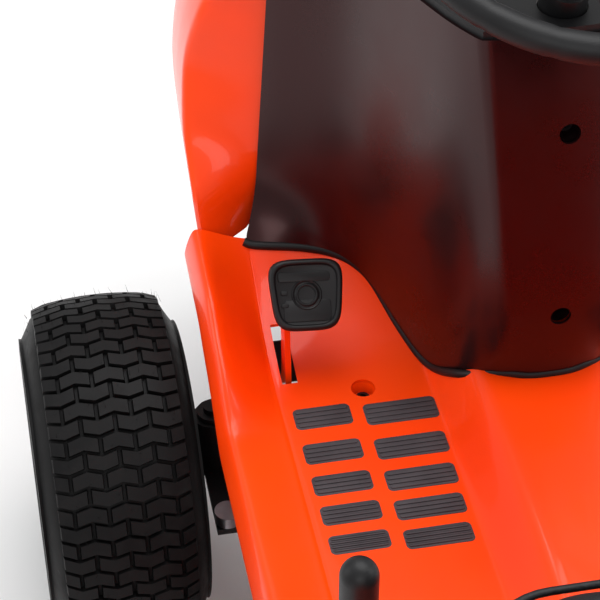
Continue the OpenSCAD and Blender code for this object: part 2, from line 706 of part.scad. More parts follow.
lever_pivot_z = rail_z + 30;
module lever_shafts() mirrored()
    translate([0, lift_y, lever_pivot_z]) tube_x(pedal_pin_d, rail_x, lift_x + 10);

module hand_lever(h, knob) translate([0, lift_y, lever_pivot_z]) {
    difference() {
        union() {
            tube_x(34, lift_x - 7, lift_x + 7);
            translate([lift_x - 4, -12, 0]) cube([8, 24, h]);
        }
        tube_x(pedal_pin_d + 2 * running_gap, lift_x - 20, lift_x + 20);
    }
    translate([lift_x, 0, h]) cylinder(d = knob, h = 84);
    translate([lift_x, 0, h + 84]) sphere(d = knob);
}

module lift_lever() color(black) hand_lever(350, 34);

module parking_lever() color(black) mirror([1, 0, 0]) hand_lever(310, 28);

// ---- seat ----
seat_front = front_y - 655;
seat_l = 400;
slide_z = fender_z + 6;
slide_x = 120;
tilt_y = seat_front - 26;
tilt_z = slide_z + 36;
seat_z = slide_z + 50;
module seat_rails() color(black)
    for (x = [-slide_x, slide_x])
        translate([x - 15, seat_front - 330, slide_z - 2.6]) cube([30, 300, 16.6]);

module seat_base() color(black) {
    translate([-slide_x - 24, seat_front - 300, slide_z + 14 + part_gap]) cube([2 * slide_x + 48, 270, 6]);
    mirrored() translate([slide_x + 15 + part_gap, seat_front - 300, slide_z + 4]) cube([6, 270, 12]);
    for (x = [-96, 84])
        translate([x, tilt_y - 9, slide_z + 20]) cube([12, 18, tilt_z - slide_z - 11]);
    translate([0, tilt_y, tilt_z]) tube_x(12, -112, 112);
}

module seat_pan() color(black) difference() {
    union() {
        translate([0, seat_front - seat_l / 2, seat_z]) rounded_box([seat_w - 24, seat_l - 16, 6], 40);
        for (x = [-110, 98])
            translate([x, tilt_y - 10, tilt_z - 10]) cube([12, 20, seat_z - tilt_z + 11]);
        translate([-seat_w / 2 + 60, seat_front - seat_l - 24, seat_z]) cube([seat_w - 120, 40, 6]);
        translate([0, seat_front - seat_l - 20, seat_z]) rotate([14, 0, 0])
            translate([-seat_w / 2 + 50, -10, 0]) cube([seat_w - 100, 8, back_h + 30]);
    }
    translate([0, tilt_y, tilt_z]) tube_x(12 + 2 * running_gap, -120, 120);
}

module seat_cushion() color([0.13, 0.13, 0.14])
    translate([0, seat_front - seat_l / 2 + 6, seat_z + 6.3]) rounded_box([seat_w, seat_l + 4, 72], 55);

module seat_back() color([0.13, 0.13, 0.14])
    translate([0, seat_front - seat_l - 20, seat_z]) rotate([14, 0, 0])
        translate([0, -1.5, 92]) rotate([-90, 0, 0]) translate([0, -back_h / 2 + 10, 0])
            rounded_box([seat_w - 20, back_h - 20, 62], 60);

// ---- mowing deck ----
deck_y = front_y - 540;
blade_x = blade_r + blade_gap / 2;
deck_r = blade_r + 15;
deck_top = skirt_z + deck_h;
rod_x = rail_x + 16;
roller_y = deck_y + deck_r + 47;
module deck_outline(r) {
    translate([-blade_x, deck_y]) circle(r = r, $fn = 96);
    translate([blade_x, deck_y]) circle(r = r, $fn = 96);
    translate([-blade_x, deck_y - r]) square([2 * blade_x, 2 * r]);
}

chute_y0 = deck_y - 20;
chute_l = 200;
chute_h = 70;
chute_x = blade_x + deck_r - 12;
module deck_shell() color(orange) difference() {
    union() {
        translate([0, 0, skirt_z]) linear_extrude(deck_h) deck_outline(deck_r);
        mirrored() for (y = [deck_y - 150, deck_y + 150])
            translate([rod_x, y, deck_top]) cylinder(d = 12, h = rail_z + 3 - deck_top);
        // chute mouth
        translate([blade_x, chute_y0, skirt_z + 20]) cube([deck_r - 8, chute_l, deck_h - 20]);
        // arms for the front rollers
        mirrored() translate([96, deck_y + deck_r - 6, deck_top - 40]) cube([8, 76, 30]);
    }
    translate([0, 0, skirt_z - 1]) linear_extrude(deck_h - deck_t + 1) deck_outline(deck_r - deck_t);
    translate([blade_x, chute_y0 + deck_t, skirt_z - 1])
        cube([deck_r + 10, chute_l - 2 * deck_t, chute_h + 21]);
    mirrored() translate([blade_x, deck_y, deck_top - 10]) cylinder(d = 50, h = 20);
    mirrored() translate([0, roller_y, deck_top - 30]) tube_x(12, 80, 120);
}

module spindle_housings() color(black)
    mirrored() translate([blade_x, deck_y, deck_top]) difference() {
        union() {
            cylinder(d = 96, h = 5);
            translate([0, 0, -22]) cylinder(d = 49, h = 40);
        }
        translate([0, 0, -30]) cylinder(d = spindle_d + 2 * running_gap, h = 60);
    }

pulley_r = 60;
belt_in = 50;
module blade(a) translate([0, deck_y, 0]) {
    translate([0, 0, deck_top - 80]) cylinder(d = spindle_d, h = 122);
    translate([0, 0, deck_top - 78]) cylinder(d = 46, h = 14);
    translate([0, 0, deck_top - 74]) rotate(a) intersection() {
        translate([-blade_r, -28, 0]) cube([2 * blade_r, 56, 5]);
        cylinder(r = blade_r, h = 5);
    }
    rotate(a) for (s = [0, 180])
        rotate(s) translate([blade_r - 92, 22, deck_top - 74]) rotate([35, 0, 0]) cube([70, 20, 3]);
    translate([0, 0, deck_top + 20]) rotate_extrude() polygon([[spindle_d / 2 - 1, 0], [pulley_r, 0],
        [pulley_r, 2], [belt_in, 5], [belt_in, 13], [pulley_r, 16], [pulley_r, 18], [spindle_d / 2 - 1, 18]]);
}

module blade_left() color(steel) translate([-blade_x, 0, 0]) blade(70);

module blade_right() color(steel) translate([blade_x, 0, 0]) blade(110);

module belt_loop(r) {
    for (s = [-1, 1])
        translate([s * blade_x, deck_y]) circle(r = r, $fn = 64);
    translate([-blade_x, deck_y - r]) square([2 * blade_x, 2 * r]);
}

module deck_belt() color([0.1, 0.1, 0.1])
    translate([0, 0, deck_top + 25.6]) linear_extrude(6.8) difference() {
        belt_loop(belt_in + 7);
        belt_loop(belt_in + 0.4);
    }

hinge_chute_x = blade_x + deck_r + 5.4;
module chute_deflector() color(black) translate([hinge_chute_x, chute_y0 + 6, deck_top - 2]) {
    tube_y(10, 0, chute_l - 12);
    rotate([0, 32, 0]) translate([2, 0, -3])
        cube([front_track / 2 + front_tyre_w / 2 - hinge_chute_x, chute_l - 12, 4]);
}

module deck_rollers() color(black)
    mirrored() translate([0, roller_y, deck_top - 30]) {
        tube_x(86, 105, 140);
        tube_x(11.9, 90, 146);
    }

module taillight_lenses() color([0.7, 0.05, 0.05])
    mirrored() translate([230, fender_back - 5.9, fender_z - 56]) cube([70, 8.5, 26]);

frame_rails();
front_bumper();
pedal_shafts();
engine_block();
muffler();
air_cleaner();
engine_pulley();
side_panels();
battery();
fuel_tank();
fuel_cap();
transaxle();
hitch_plate();
footrest_panel();
foot_pads_left();
foot_pads_right();
panel_screws();
rear_fender();
dash_cowl();
dash_panel();
steering_column();
ignition_key();
throttle_lever();
blade_switch();
hood_shell();
front_grille();
headlight_lenses();
steering_wheel();
steering_shaft();
front_axle();
spindle_left();
spindle_right();
tie_rod();
tyre_front_left();
rim_front_left();
tyre_front_right();
rim_front_right();
tyre_rear_left();
rim_rear_left();
tyre_rear_right();
rim_rear_right();
brake_arm();
brake_pad();
drive_pedal();
drive_pad();
lift_lever();
parking_lever();
seat_rails();
seat_base();
seat_pan();
seat_cushion();
seat_back();
deck_shell();
spindle_housings();
blade_left();
blade_right();
deck_belt();
chute_deflector();
deck_rollers();
taillight_lenses();
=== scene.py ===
import math
import bmesh
import bpy
from mathutils import Matrix, Vector


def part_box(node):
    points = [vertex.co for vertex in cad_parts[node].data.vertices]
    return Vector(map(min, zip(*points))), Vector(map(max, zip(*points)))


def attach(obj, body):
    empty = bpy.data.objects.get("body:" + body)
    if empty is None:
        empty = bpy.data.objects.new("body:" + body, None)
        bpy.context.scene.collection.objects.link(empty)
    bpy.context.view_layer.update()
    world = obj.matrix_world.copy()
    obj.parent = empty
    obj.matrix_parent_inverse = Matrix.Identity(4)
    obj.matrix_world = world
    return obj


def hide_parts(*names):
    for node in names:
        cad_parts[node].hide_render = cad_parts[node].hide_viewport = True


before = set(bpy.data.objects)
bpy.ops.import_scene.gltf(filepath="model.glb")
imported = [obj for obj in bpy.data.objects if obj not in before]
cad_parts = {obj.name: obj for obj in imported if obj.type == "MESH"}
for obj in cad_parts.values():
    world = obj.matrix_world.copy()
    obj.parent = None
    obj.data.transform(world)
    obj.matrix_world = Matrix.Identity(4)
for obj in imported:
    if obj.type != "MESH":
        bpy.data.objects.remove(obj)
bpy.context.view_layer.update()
scene = bpy.context.scene
MM = 0.001


# ---- places read from the frame ----
def span(node, axis):
    """Lowest and highest value of a node along one axis, in millimetres."""
    lo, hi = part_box(node)
    return lo[axis] / MM, hi[axis] / MM


def middle(node, axis):
    lo, hi = span(node, axis)
    return (lo + hi) / 2


front_y = middle("tyre_front_left", 1)
front_r = middle("tyre_front_left", 2)
front_w = span("tyre_front_left", 0)[1] - span("tyre_front_left", 0)[0]
front_wheel_x = middle("tyre_front_right", 0)
rear_y = middle("tyre_rear_left", 1)
rear_r = middle("tyre_rear_left", 2)
rear_w = span("tyre_rear_left", 0)[1] - span("tyre_rear_left", 0)[0]
rear_wheel_x = middle("tyre_rear_right", 0)
footrest_hw = span("footrest_panel", 0)[1]
floor_z = span("foot_pads_left", 2)[0]
floor_back, floor_front = span("footrest_panel", 1)
hood_hw = span("hood_shell", 0)[1]
hood_z = span("hood_shell", 2)[1]
hood_front = span("hood_shell", 1)[1]
fender_hw = span("rear_fender", 0)[1]
fender_z = span("rear_fender", 2)[1] - 7
dash_z = span("dash_panel", 2)[0]


# ---- camera ----
CAMERA_BACK = 1557
CAMERA_LEFT = 517
CAMERA_UP = 1727
camera = bpy.data.objects.new("camera", bpy.data.cameras.new("camera"))
scene.collection.objects.link(camera)
camera.location = Vector((-CAMERA_LEFT, front_y - CAMERA_BACK, CAMERA_UP)) * MM
camera.rotation_euler = (math.radians(50), 0, math.radians(-11))
camera.data.sensor_width = 36
camera.data.lens = 120
camera.data.clip_start = 0.05
camera.data.clip_end = 50
scene.camera = camera


# ---- nodes written as expressions ----
class Value:
    """A socket that takes part in Python arithmetic."""

    def __init__(self, tree, socket):
        self.tree = tree
        self.socket = socket

    def maths(self, operation, *terms):
        return self.tree.add("ShaderNodeMath", {"operation": operation}, dict(enumerate(terms)))

    def __add__(self, other):
        return self.maths("ADD", self, other)

    def __radd__(self, other):
        return self.maths("ADD", other, self)

    def __sub__(self, other):
        return self.maths("SUBTRACT", self, other)

    def __rsub__(self, other):
        return self.maths("SUBTRACT", other, self)

    def __mul__(self, other):
        return self.maths("MULTIPLY", self, other)

    def __rmul__(self, other):
        return self.maths("MULTIPLY", other, self)

    def __truediv__(self, other):
        return self.maths("DIVIDE", self, other)

    def __pow__(self, other):
        return self.maths("POWER", self, other)

    def __abs__(self):
        return self.maths("ABSOLUTE", self)


    def under(self, other):
        return self.maths("LESS_THAN", self, other)

    def ramp(self, low, high, start=0.0, end=1.0):
        """A smooth step from start at low to end at high."""
        settings = {"interpolation_type": "SMOOTHSTEP"}
        return self.tree.add("ShaderNodeMapRange", settings, {0: self, 1: low, 2: high, 3: start, 4: end})


class Tree:
    """The nodes of one material or one geometry tree."""

    def __init__(self, node_tree):
        self.nodes = node_tree.nodes
        self.links = node_tree.links
        self.node_tree = node_tree

    def add(self, kind, settings=None, inputs=None, output=0):
        node = self.nodes.new(kind)
        for key, value in (settings or {}).items():
            setattr(node, key, value)
        self.feed(node, inputs or {})
        return Value(self, node.outputs[output])

    def feed(self, node, inputs):
        for key, value in inputs.items():
            socket = node.inputs[key]
            if isinstance(value, Value):
                self.links.new(value.socket, socket)
            else:
                socket.default_value = value

    def part(self, value, output):
        """Another output of the node that a value comes from."""
        return Value(self, value.socket.node.outputs[output])


# ---- finishes ----
def linear(level):
    level = level / 255
    return level / 12.92 if level <= 0.04045 else ((level + 0.055) / 1.055) ** 2.4


def rgb(red, green, blue):
    return (linear(red), linear(green), linear(blue), 1.0)


class Finish(Tree):
    """A procedural surface finish around one Principled shader."""

    def __init__(self, name, **constants):
        self.material = bpy.data.materials.new(name)
        self.material.use_nodes = True
        super().__init__(self.material.node_tree)
        self.shader = self.nodes["Principled BSDF"]
        self.place = self.add("ShaderNodeTexCoord", output="Object")
        self.set(constants)

    def set(self, inputs):
        self.feed(self.shader, inputs)

    def noise(self, scale, detail=2.0, rough=0.5, place=None):
        inputs = {"Vector": place or self.place, "Scale": scale, "Detail": detail, "Roughness": rough}
        return self.add("ShaderNodeTexNoise", {}, inputs)

    def cells(self, scale, place=None):
        return self.add("ShaderNodeTexVoronoi", {}, {"Vector": place or self.place, "Scale": scale})

    def stretched(self, x, y, z):
        return self.add("ShaderNodeMapping", {}, {"Vector": self.place, "Scale": (x, y, z)})

    def mix(self, amount, first, second):
        return self.add("ShaderNodeMix", {"data_type": "RGBA"}, {0: amount, 6: first, 7: second}, 2)

    def bump(self, height, strength, distance, under=None):
        inputs = {"Height": height, "Strength": strength, "Distance": distance}
        if under is not None:
            inputs["Normal"] = under
        return self.add("ShaderNodeBump", {}, inputs)


def paint(name, colour, dark, rough, coat, peel, dust):
    """Sprayed or moulded glossy colour: slight mottling, orange peel, a little dust."""
    f = Finish(name, **{"Coat Roughness": 0.06, "IOR": 1.5, "Specular IOR Level": 0.22, "Coat IOR": 1.35})
    broad = f.noise(5.0, 3.0).ramp(0.35, 0.7)
    specks = f.noise(900.0, 1.0).ramp(0.62, 0.75)
    base = f.mix(broad * 0.35, colour, dark)
    f.set({"Base Color": f.mix(specks * dust, base, rgb(250, 190, 160))})
    f.set({"Roughness": rough + f.noise(38.0, 4.0) * 0.1})
    f.set({"Coat Weight": coat - specks * 0.1})
    waves = f.bump(f.noise(260.0, 1.0), peel, 0.0004)
    f.set({"Normal": f.bump(f.noise(28.0, 1.0), peel * 0.4, 0.0008, waves)})
    return f.material


def moulded(name, colour, light, rough, grain, depth, coat=0.0, sheen=0.5):
    """Moulded plastic or rubber with a fine pebbled grain."""
    f = Finish(name, **{"IOR": 1.5, "Specular IOR Level": sheen, "Coat Weight": coat, "Coat Roughness": 0.18})
    cloud = f.noise(14.0, 4.0, 0.6).ramp(0.3, 0.75)
    pebble = f.noise(grain, 2.0, 0.6)
    f.set({"Base Color": f.mix(cloud * 0.6 + pebble * 0.25, colour, light)})
    f.set({"Roughness": rough + cloud * 0.08 - pebble * 0.06})
    f.set({"Normal": f.bump(f.cells(grain) * 0.6 + pebble, depth, 0.0003)})
    return f.material


def metal(name, colour, worn, rough, brush, metallic=1.0, stain=0.3):
    """Bare or cast metal with a drawn grain and stains."""
    f = Finish(name, **{"Metallic": metallic})
    grain = f.noise(220.0, 3.0, 0.6, f.stretched(1.0, brush, brush))
    cloud = f.noise(18.0, 5.0, 0.65).ramp(0.4, 0.7)
    f.set({"Base Color": f.mix(cloud * stain + grain * 0.2, colour, worn)})
    f.set({"Roughness": rough + grain * 0.16 + cloud * 0.1})
    f.set({"Normal": f.bump(grain, 0.12, 0.0003)})
    return f.material


ORANGE = rgb(255, 68, 0)
body_paint = paint("body_paint", ORANGE, rgb(250, 46, 0), 0.3, 0.5, 0.05, 0.0)
deck_paint = paint("deck_paint", rgb(238, 52, 2), rgb(205, 40, 2), 0.38, 0.5, 0.18, 0.1)
frame_paint = paint("frame_paint", rgb(17, 17, 19), rgb(26, 26, 28), 0.42, 0.2, 0.25, 0.04)
rim_paint = paint("rim_paint", rgb(13, 13, 14), rgb(20, 20, 22), 0.22, 1.0, 0.1, 0.02)
# Black cowl plastic: the dark red tint of both colours is painted red reflection of the orange body, not the
# plastic's own colour
cowl_plastic = moulded("cowl_plastic", rgb(15, 6, 7), rgb(25, 9, 11), 0.3, 900.0, 0.05, 0.15, 0.4)
cowl_red_reflection_shader = cowl_plastic.node_tree.nodes["Principled BSDF"]
# Painted reflection: the pink specular tint turns the cowl's highlights red, as if the orange body were
# reflected in them
cowl_red_reflection_shader.inputs["Specular Tint"].default_value = (1.0, 0.42, 0.42, 1.0)
black_plastic = moulded("black_plastic", rgb(15, 15, 16), rgb(27, 27, 29), 0.46, 700.0, 0.25, 0.0, 0.28)
pad_rubber = moulded("pad_rubber", rgb(58, 53, 56), rgb(80, 75, 78), 0.6, 600.0, 0.35, 0.0, 0.2)
pedal_rubber = moulded("pedal_rubber", rgb(14, 13, 14), rgb(24, 22, 24), 0.42, 800.0, 0.2, 0.0, 0.28)
belt_rubber = moulded("belt_rubber", rgb(28, 28, 28), rgb(52, 52, 50), 0.7, 900.0, 0.4)
bright_steel = metal("bright_steel", rgb(176, 178, 184), rgb(120, 118, 116), 0.22, 9.0)
blade_steel = metal("blade_steel", rgb(146, 148, 152), rgb(84, 76, 70), 0.34, 14.0, 1.0, 0.6)
engine_cast = metal("engine_cast", rgb(92, 94, 98), rgb(52, 52, 54), 0.5, 1.0, 0.75, 0.6)
muffler_steel = metal("muffler_steel", rgb(120, 106, 92), rgb(72, 58, 48), 0.45, 2.0, 0.9, 0.8)


def tyre_finish():
    """Black rubber: dusty patches, faint mould specks and a fine grain."""
    f = Finish("tyre_rubber", **{"IOR": 1.5, "Specular IOR Level": 0.12})
    dust = f.noise(24.0, 5.0, 0.7).ramp(0.42, 0.72)
    grain = f.noise(1200.0, 2.0, 0.6)
    f.set({"Base Color": f.mix(dust * 0.55 + grain * 0.3, rgb(15, 15, 16), rgb(30, 29, 29))})
    f.set({"Roughness": 0.52 + dust * 0.2 - grain * 0.08})
    under = f.bump(f.noise(60.0, 3.0), 0.12, 0.0012)
    f.set({"Normal": f.bump(grain, 0.3, 0.0003, under)})
    return f.material


def tank_finish():
    """Milky moulded polyethylene."""
    f = Finish("tank_plastic", **{"Subsurface Weight": 0.3, "IOR": 1.5})
    cloud = f.noise(9.0, 3.0)
    f.set({"Base Color": f.mix(cloud, rgb(232, 230, 220), rgb(208, 204, 190))})
    f.set({"Roughness": 0.42 + cloud * 0.1})
    f.set({"Normal": f.bump(f.noise(300.0, 2.0), 0.15, 0.0004)})
    return f.material


def vinyl_finish():
    """Seat cover: leather-like grain with shallow wrinkles."""
    f = Finish("seat_vinyl", **{"IOR": 1.5, "Specular IOR Level": 0.3})
    cells = f.cells(420.0)
    cloud = f.noise(16.0, 4.0).ramp(0.3, 0.7)
    f.set({"Base Color": f.mix(cloud * 0.5 + cells * 0.3, rgb(18, 18, 20), rgb(36, 36, 39))})
    f.set({"Roughness": 0.46 + cells * 0.14})
    wrinkle = f.bump(f.noise(22.0, 3.0, 0.5, f.stretched(1.0, 2.2, 1.0)), 0.2, 0.003)
    f.set({"Normal": f.bump(cells, 0.45, 0.0005, wrinkle)})
    return f.material


def lens_finish(name, colour, deep, rough):
    """Pressed lamp lens with fine vertical flutes."""
    f = Finish(name, **{"IOR": 1.49, "Coat Weight": 1.0, "Coat Roughness": 0.03})
    flutes = f.add("ShaderNodeTexWave", {"bands_direction": "X"}, {"Vector": f.place, "Scale": 90.0}, 1)
    ribs = f.add("ShaderNodeTexWave", {"bands_direction": "Z"}, {"Vector": f.place, "Scale": 40.0}, 1)
    f.set({"Base Color": f.mix(flutes * 0.5 + ribs * 0.3, colour, deep)})
    f.set({"Roughness": rough + flutes * 0.08})
    f.set({"Normal": f.bump(flutes * 0.6 + ribs * 0.4, 0.5, 0.0012)})
    return f.material


tyre_rubber = tyre_finish()
tank_plastic = tank_finish()
seat_vinyl = vinyl_finish()
clear_lens = lens_finish("clear_lens", rgb(226, 231, 236), rgb(150, 158, 166), 0.08)
red_lens = lens_finish("red_lens", rgb(176, 12, 14), rgb(96, 4, 6), 0.12)
switch_yellow = moulded("switch_yellow", rgb(246, 190, 24), rgb(226, 160, 14), 0.35, 500.0, 0.12, 0.3)


# ---- mesh building ----
def settle(name, mesh, modifiers=(), sharp=38):
    """An object whose modifiers are applied, shaded smooth between its sharp edges."""
    thing = bpy.data.objects.new(name, mesh)
    scene.collection.objects.link(thing)
    for kind, settings in modifiers:
        modifier = thing.modifiers.new(kind, kind)
        for key, value in settings.items():
            setattr(modifier, key, value)
    bpy.context.view_layer.update()
    if modifiers:
        graph = bpy.context.evaluated_depsgraph_get()
        made = bpy.data.meshes.new_from_object(thing.evaluated_get(graph))
        thing.modifiers.clear()
        thing.data = made
    thing.data.shade_smooth()
    thing.data.set_sharp_from_angle(angle=math.radians(sharp))
    return thing


def raw(name, points, faces, crease=None):
    """A mesh from points in millimetres; crease maps edges between points to how sharp they stay."""
    mesh = bpy.data.meshes.new(name)
    mesh.from_pydata([Vector(p) * MM for p in points], [], faces)
    if crease:
        kept = mesh.attributes.new("crease_edge", "FLOAT", "EDGE")
        for edge in mesh.edges:
            kept.data[edge.index].value = crease(edge.vertices[0], edge.vertices[1])
    return mesh


def dress(thing, finish, body, slot, *nodes):
    thing.data.materials.clear()
    thing.data.materials.append(finish)
    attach(thing, body)
    if nodes:
        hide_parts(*nodes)
    return thing


def grid_faces(rows, columns, start=0, round_rows=False):
    """Quads over a grid of points kept row by row."""
    faces = []
    for i in range(rows if round_rows else rows - 1):
        for j in range(columns - 1):
            a = start + i * columns + j
            b = start + (i + 1) % rows * columns + j
            faces.append((a, b, b + 1, a + 1))
    return faces


def merged(name, meshes):
    """Several meshes as one."""
    made = bmesh.new()
    for mesh in meshes:
        made.from_mesh(mesh)
    result = bpy.data.meshes.new(name)
    made.to_mesh(result)
    made.free()
    return result


def cleaned(mesh, gap=0.00002):
    """Doubles merged and faces turned outwards."""
    made = bmesh.new()
    made.from_mesh(mesh)
    bmesh.ops.remove_doubles(made, verts=made.verts, dist=gap)
    bmesh.ops.recalc_face_normals(made, faces=made.faces)
    made.to_mesh(mesh)
    made.free()
    return mesh


def spun(name, profile, centre, axis="X", steps=96, side=1, closed=True):
    """A ring from a profile of (radius, offset along the axis) pairs."""
    points = []
    for i in range(steps):
        turn = 2 * math.pi * i / steps
        for radius, along in profile:
            a = radius * math.cos(turn)
            b = radius * math.sin(turn)
            place = (side * along, a, b) if axis == "X" else (a, side * along, b) if axis == "Y" else (
                a, b, side * along)
            points.append(Vector(place) + Vector(centre))
    faces = grid_faces(steps, len(profile), 0, True)
    if closed:
        last = len(profile) - 1
        for i in range(steps):
            a = i * len(profile)
            b = (i + 1) % steps * len(profile)
            faces.append((a, a + last, b + last, b))
    return cleaned(raw(name, points, faces), 0.000005)


def swept(name, path, radius, steps=10, closed=False, flat=1.0):
    """A round or flattened bar along a path of points in millimetres, with closed ends."""
    path = [Vector(p) for p in path]
    count = len(path)
    points = []
    side = None
    for i, here in enumerate(path):
        ahead = path[(i + 1) % count] if closed or i < count - 1 else here
        behind = path[i - 1] if closed or i > 0 else here
        along = (ahead - behind).normalized()
        if side is None:
            side = along.orthogonal().normalized()
        side = (side - along * side.dot(along)).normalized()
        up = along.cross(side)
        size = radius[i] if isinstance(radius, list) else radius
        for k in range(steps):
            turn = 2 * math.pi * k / steps
            points.append(here + side * size * math.cos(turn) + up * size * flat * math.sin(turn))
    faces = []
    for i in range(count if closed else count - 1):
        for k in range(steps):
            a = i * steps + k
            b = i * steps + (k + 1) % steps
            c = (i + 1) % count * steps + (k + 1) % steps
            d = (i + 1) % count * steps + k
            faces.append((a, d, c, b))
    if not closed:
        faces.append(tuple(range(steps)))
        faces.append(tuple(range((count - 1) * steps, count * steps))[::-1])
    return cleaned(raw(name, points, faces), 0.000001)


def outline(half_x, half_y, corner, steps=6):
    """A rectangle with rounded corners, anticlockwise."""
    points = []
    for quarter, (sx, sy) in enumerate([(1, 1), (-1, 1), (-1, -1), (1, -1)]):
        for k in range(steps + 1):
            turn = math.pi / 2 * (quarter + k / steps)
            x = sx * (half_x - corner) + corner * math.cos(turn)
            y = sy * (half_y - corner) + corner * math.sin(turn)
            points.append((x, y))
    return points


def block(name, shape, low, high, edge=1.0, place=None):
    """A flat outline raised to a solid whose upper edge is rounded over."""
    count = len(shape)
    reach = max(math.hypot(x, y) for x, y in shape)
    layers = [(low, 1.0), (high - edge, 1.0)]
    for k in (1, 2, 3):
        turn = math.pi / 2 * k / 3
        inset = edge * (1 - math.cos(turn)) / reach
        layers.append((high - edge + edge * math.sin(turn), 1 - inset))
    points = [Vector((x * scale, y * scale, z)) for z, scale in layers for x, y in shape]
    faces = []
    for i in range(len(layers) - 1):
        for k in range(count):
            a = i * count + k
            b = i * count + (k + 1) % count
            faces.append((a, b, b + count, a + count))
    faces.append(tuple(range(count))[::-1])
    faces.append(tuple(range((len(layers) - 1) * count, len(layers) * count)))
    if place is not None:
        points = [place @ p for p in points]
    return raw(name, points, faces)


def cutter(name, mesh):
    """A solid for one cut; it is removed by cut()."""
    thing = bpy.data.objects.new(name, mesh)
    scene.collection.objects.link(thing)
    return thing


def cut(thing, meshes):
    """Takes solids out of an object's mesh."""
    for mesh in meshes:
        tool = cutter("cutter", mesh)
        modifier = thing.modifiers.new("cut", "BOOLEAN")
        modifier.operation = "DIFFERENCE"
        modifier.solver = "EXACT"
        modifier.object = tool
        bpy.context.view_layer.update()
        graph = bpy.context.evaluated_depsgraph_get()
        made = bpy.data.meshes.new_from_object(thing.evaluated_get(graph))
        thing.modifiers.clear()
        thing.data = made
        bpy.data.objects.remove(tool)
    thing.data.shade_smooth()
    thing.data.set_sharp_from_angle(angle=math.radians(38))


def brick(x0, x1, y0, y1, z0, z1):
    points = [(x, y, z) for z in (z0, z1) for x, y in ((x0, y0), (x1, y0), (x1, y1), (x0, y1))]
    faces = [(3, 2, 1, 0), (4, 5, 6, 7), (0, 1, 5, 4), (1, 2, 6, 5), (2, 3, 7, 6), (3, 0, 4, 7)]
    return raw("brick", points, faces)


def rod(centre, axis, radius, start, end, steps=32):
    """A straight round cutter."""
    return spun("rod", [(0.001, start), (radius, start), (radius, end), (0.001, end)], centre, axis, steps)


# ---- geometry trees ----
def geometry_tree(name, sizes):
    """A geometry tree with named inputs, and its inputs as values."""
    data = bpy.data.node_groups.new(name, "GeometryNodeTree")
    data.interface.new_socket(name="Geometry", in_out="INPUT", socket_type="NodeSocketGeometry")
    for size, value in sizes.items():
        kind = "NodeSocketInt" if isinstance(value, int) else "NodeSocketFloat"
        data.interface.new_socket(name=size, in_out="INPUT", socket_type=kind).default_value = value
    data.interface.new_socket(name="Finish", in_out="INPUT", socket_type="NodeSocketMaterial")
    data.interface.new_socket(name="Geometry", in_out="OUTPUT", socket_type="NodeSocketGeometry")
    tree = Tree(data)
    source = tree.nodes.new("NodeGroupInput")
    return tree, {socket.name: Value(tree, socket) for socket in source.outputs if socket.name}


def end_tree(tree, given, shape):
    """Realize Instances, Set Material and the output."""
    plain = tree.add("GeometryNodeRealizeInstances", {}, {0: shape})
    coloured = tree.add("GeometryNodeSetMaterial", {}, {"Geometry": plain, "Material": given["Finish"]})
    sink = tree.nodes.new("NodeGroupOutput")
    tree.links.new(coloured.socket, sink.inputs[0])
    return tree.node_tree


def grown(name, data, finish, sizes, mesh=None, sharp=30):
    """Runs a geometry tree once and keeps the plain mesh."""
    thing = bpy.data.objects.new(name, mesh or bpy.data.meshes.new(name))
    scene.collection.objects.link(thing)
    modifier = thing.modifiers.new("grow", "NODES")
    modifier.node_group = data
    for item in data.interface.items_tree:
        if item.in_out == "INPUT" and item.name in sizes:
            modifier[item.identifier] = sizes[item.name]
        if item.in_out == "INPUT" and item.name == "Finish":
            modifier[item.identifier] = finish
    thing.update_tag()
    bpy.context.view_layer.update()
    graph = bpy.context.evaluated_depsgraph_get()
    made = bpy.data.meshes.new_from_object(thing.evaluated_get(graph))
    thing.modifiers.clear()
    thing.data = made
    made.shade_smooth()
    made.set_sharp_from_angle(angle=math.radians(sharp))
    return thing


def keep(thing, body, slot, *nodes):
    """A grown piece already carries its finish."""
    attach(thing, body)
    if nodes:
        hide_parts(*nodes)
    return thing


def split(tree, vector=None):
    """The three parts of a position."""
    vector = vector or tree.add("GeometryNodeInputPosition")
    x = tree.add("ShaderNodeSeparateXYZ", {}, {0: vector})
    return x, tree.part(x, 1), tree.part(x, 2)


def joined(tree, *shapes):
    node = tree.nodes.new("GeometryNodeJoinGeometry")
    for shape in reversed(shapes):
        tree.links.new(shape.socket, node.inputs[0])
    return Value(tree, node.outputs[0])


def vector(tree, x, y, z):
    return tree.add("ShaderNodeCombineXYZ", {}, {0: x, 1: y, 2: z})


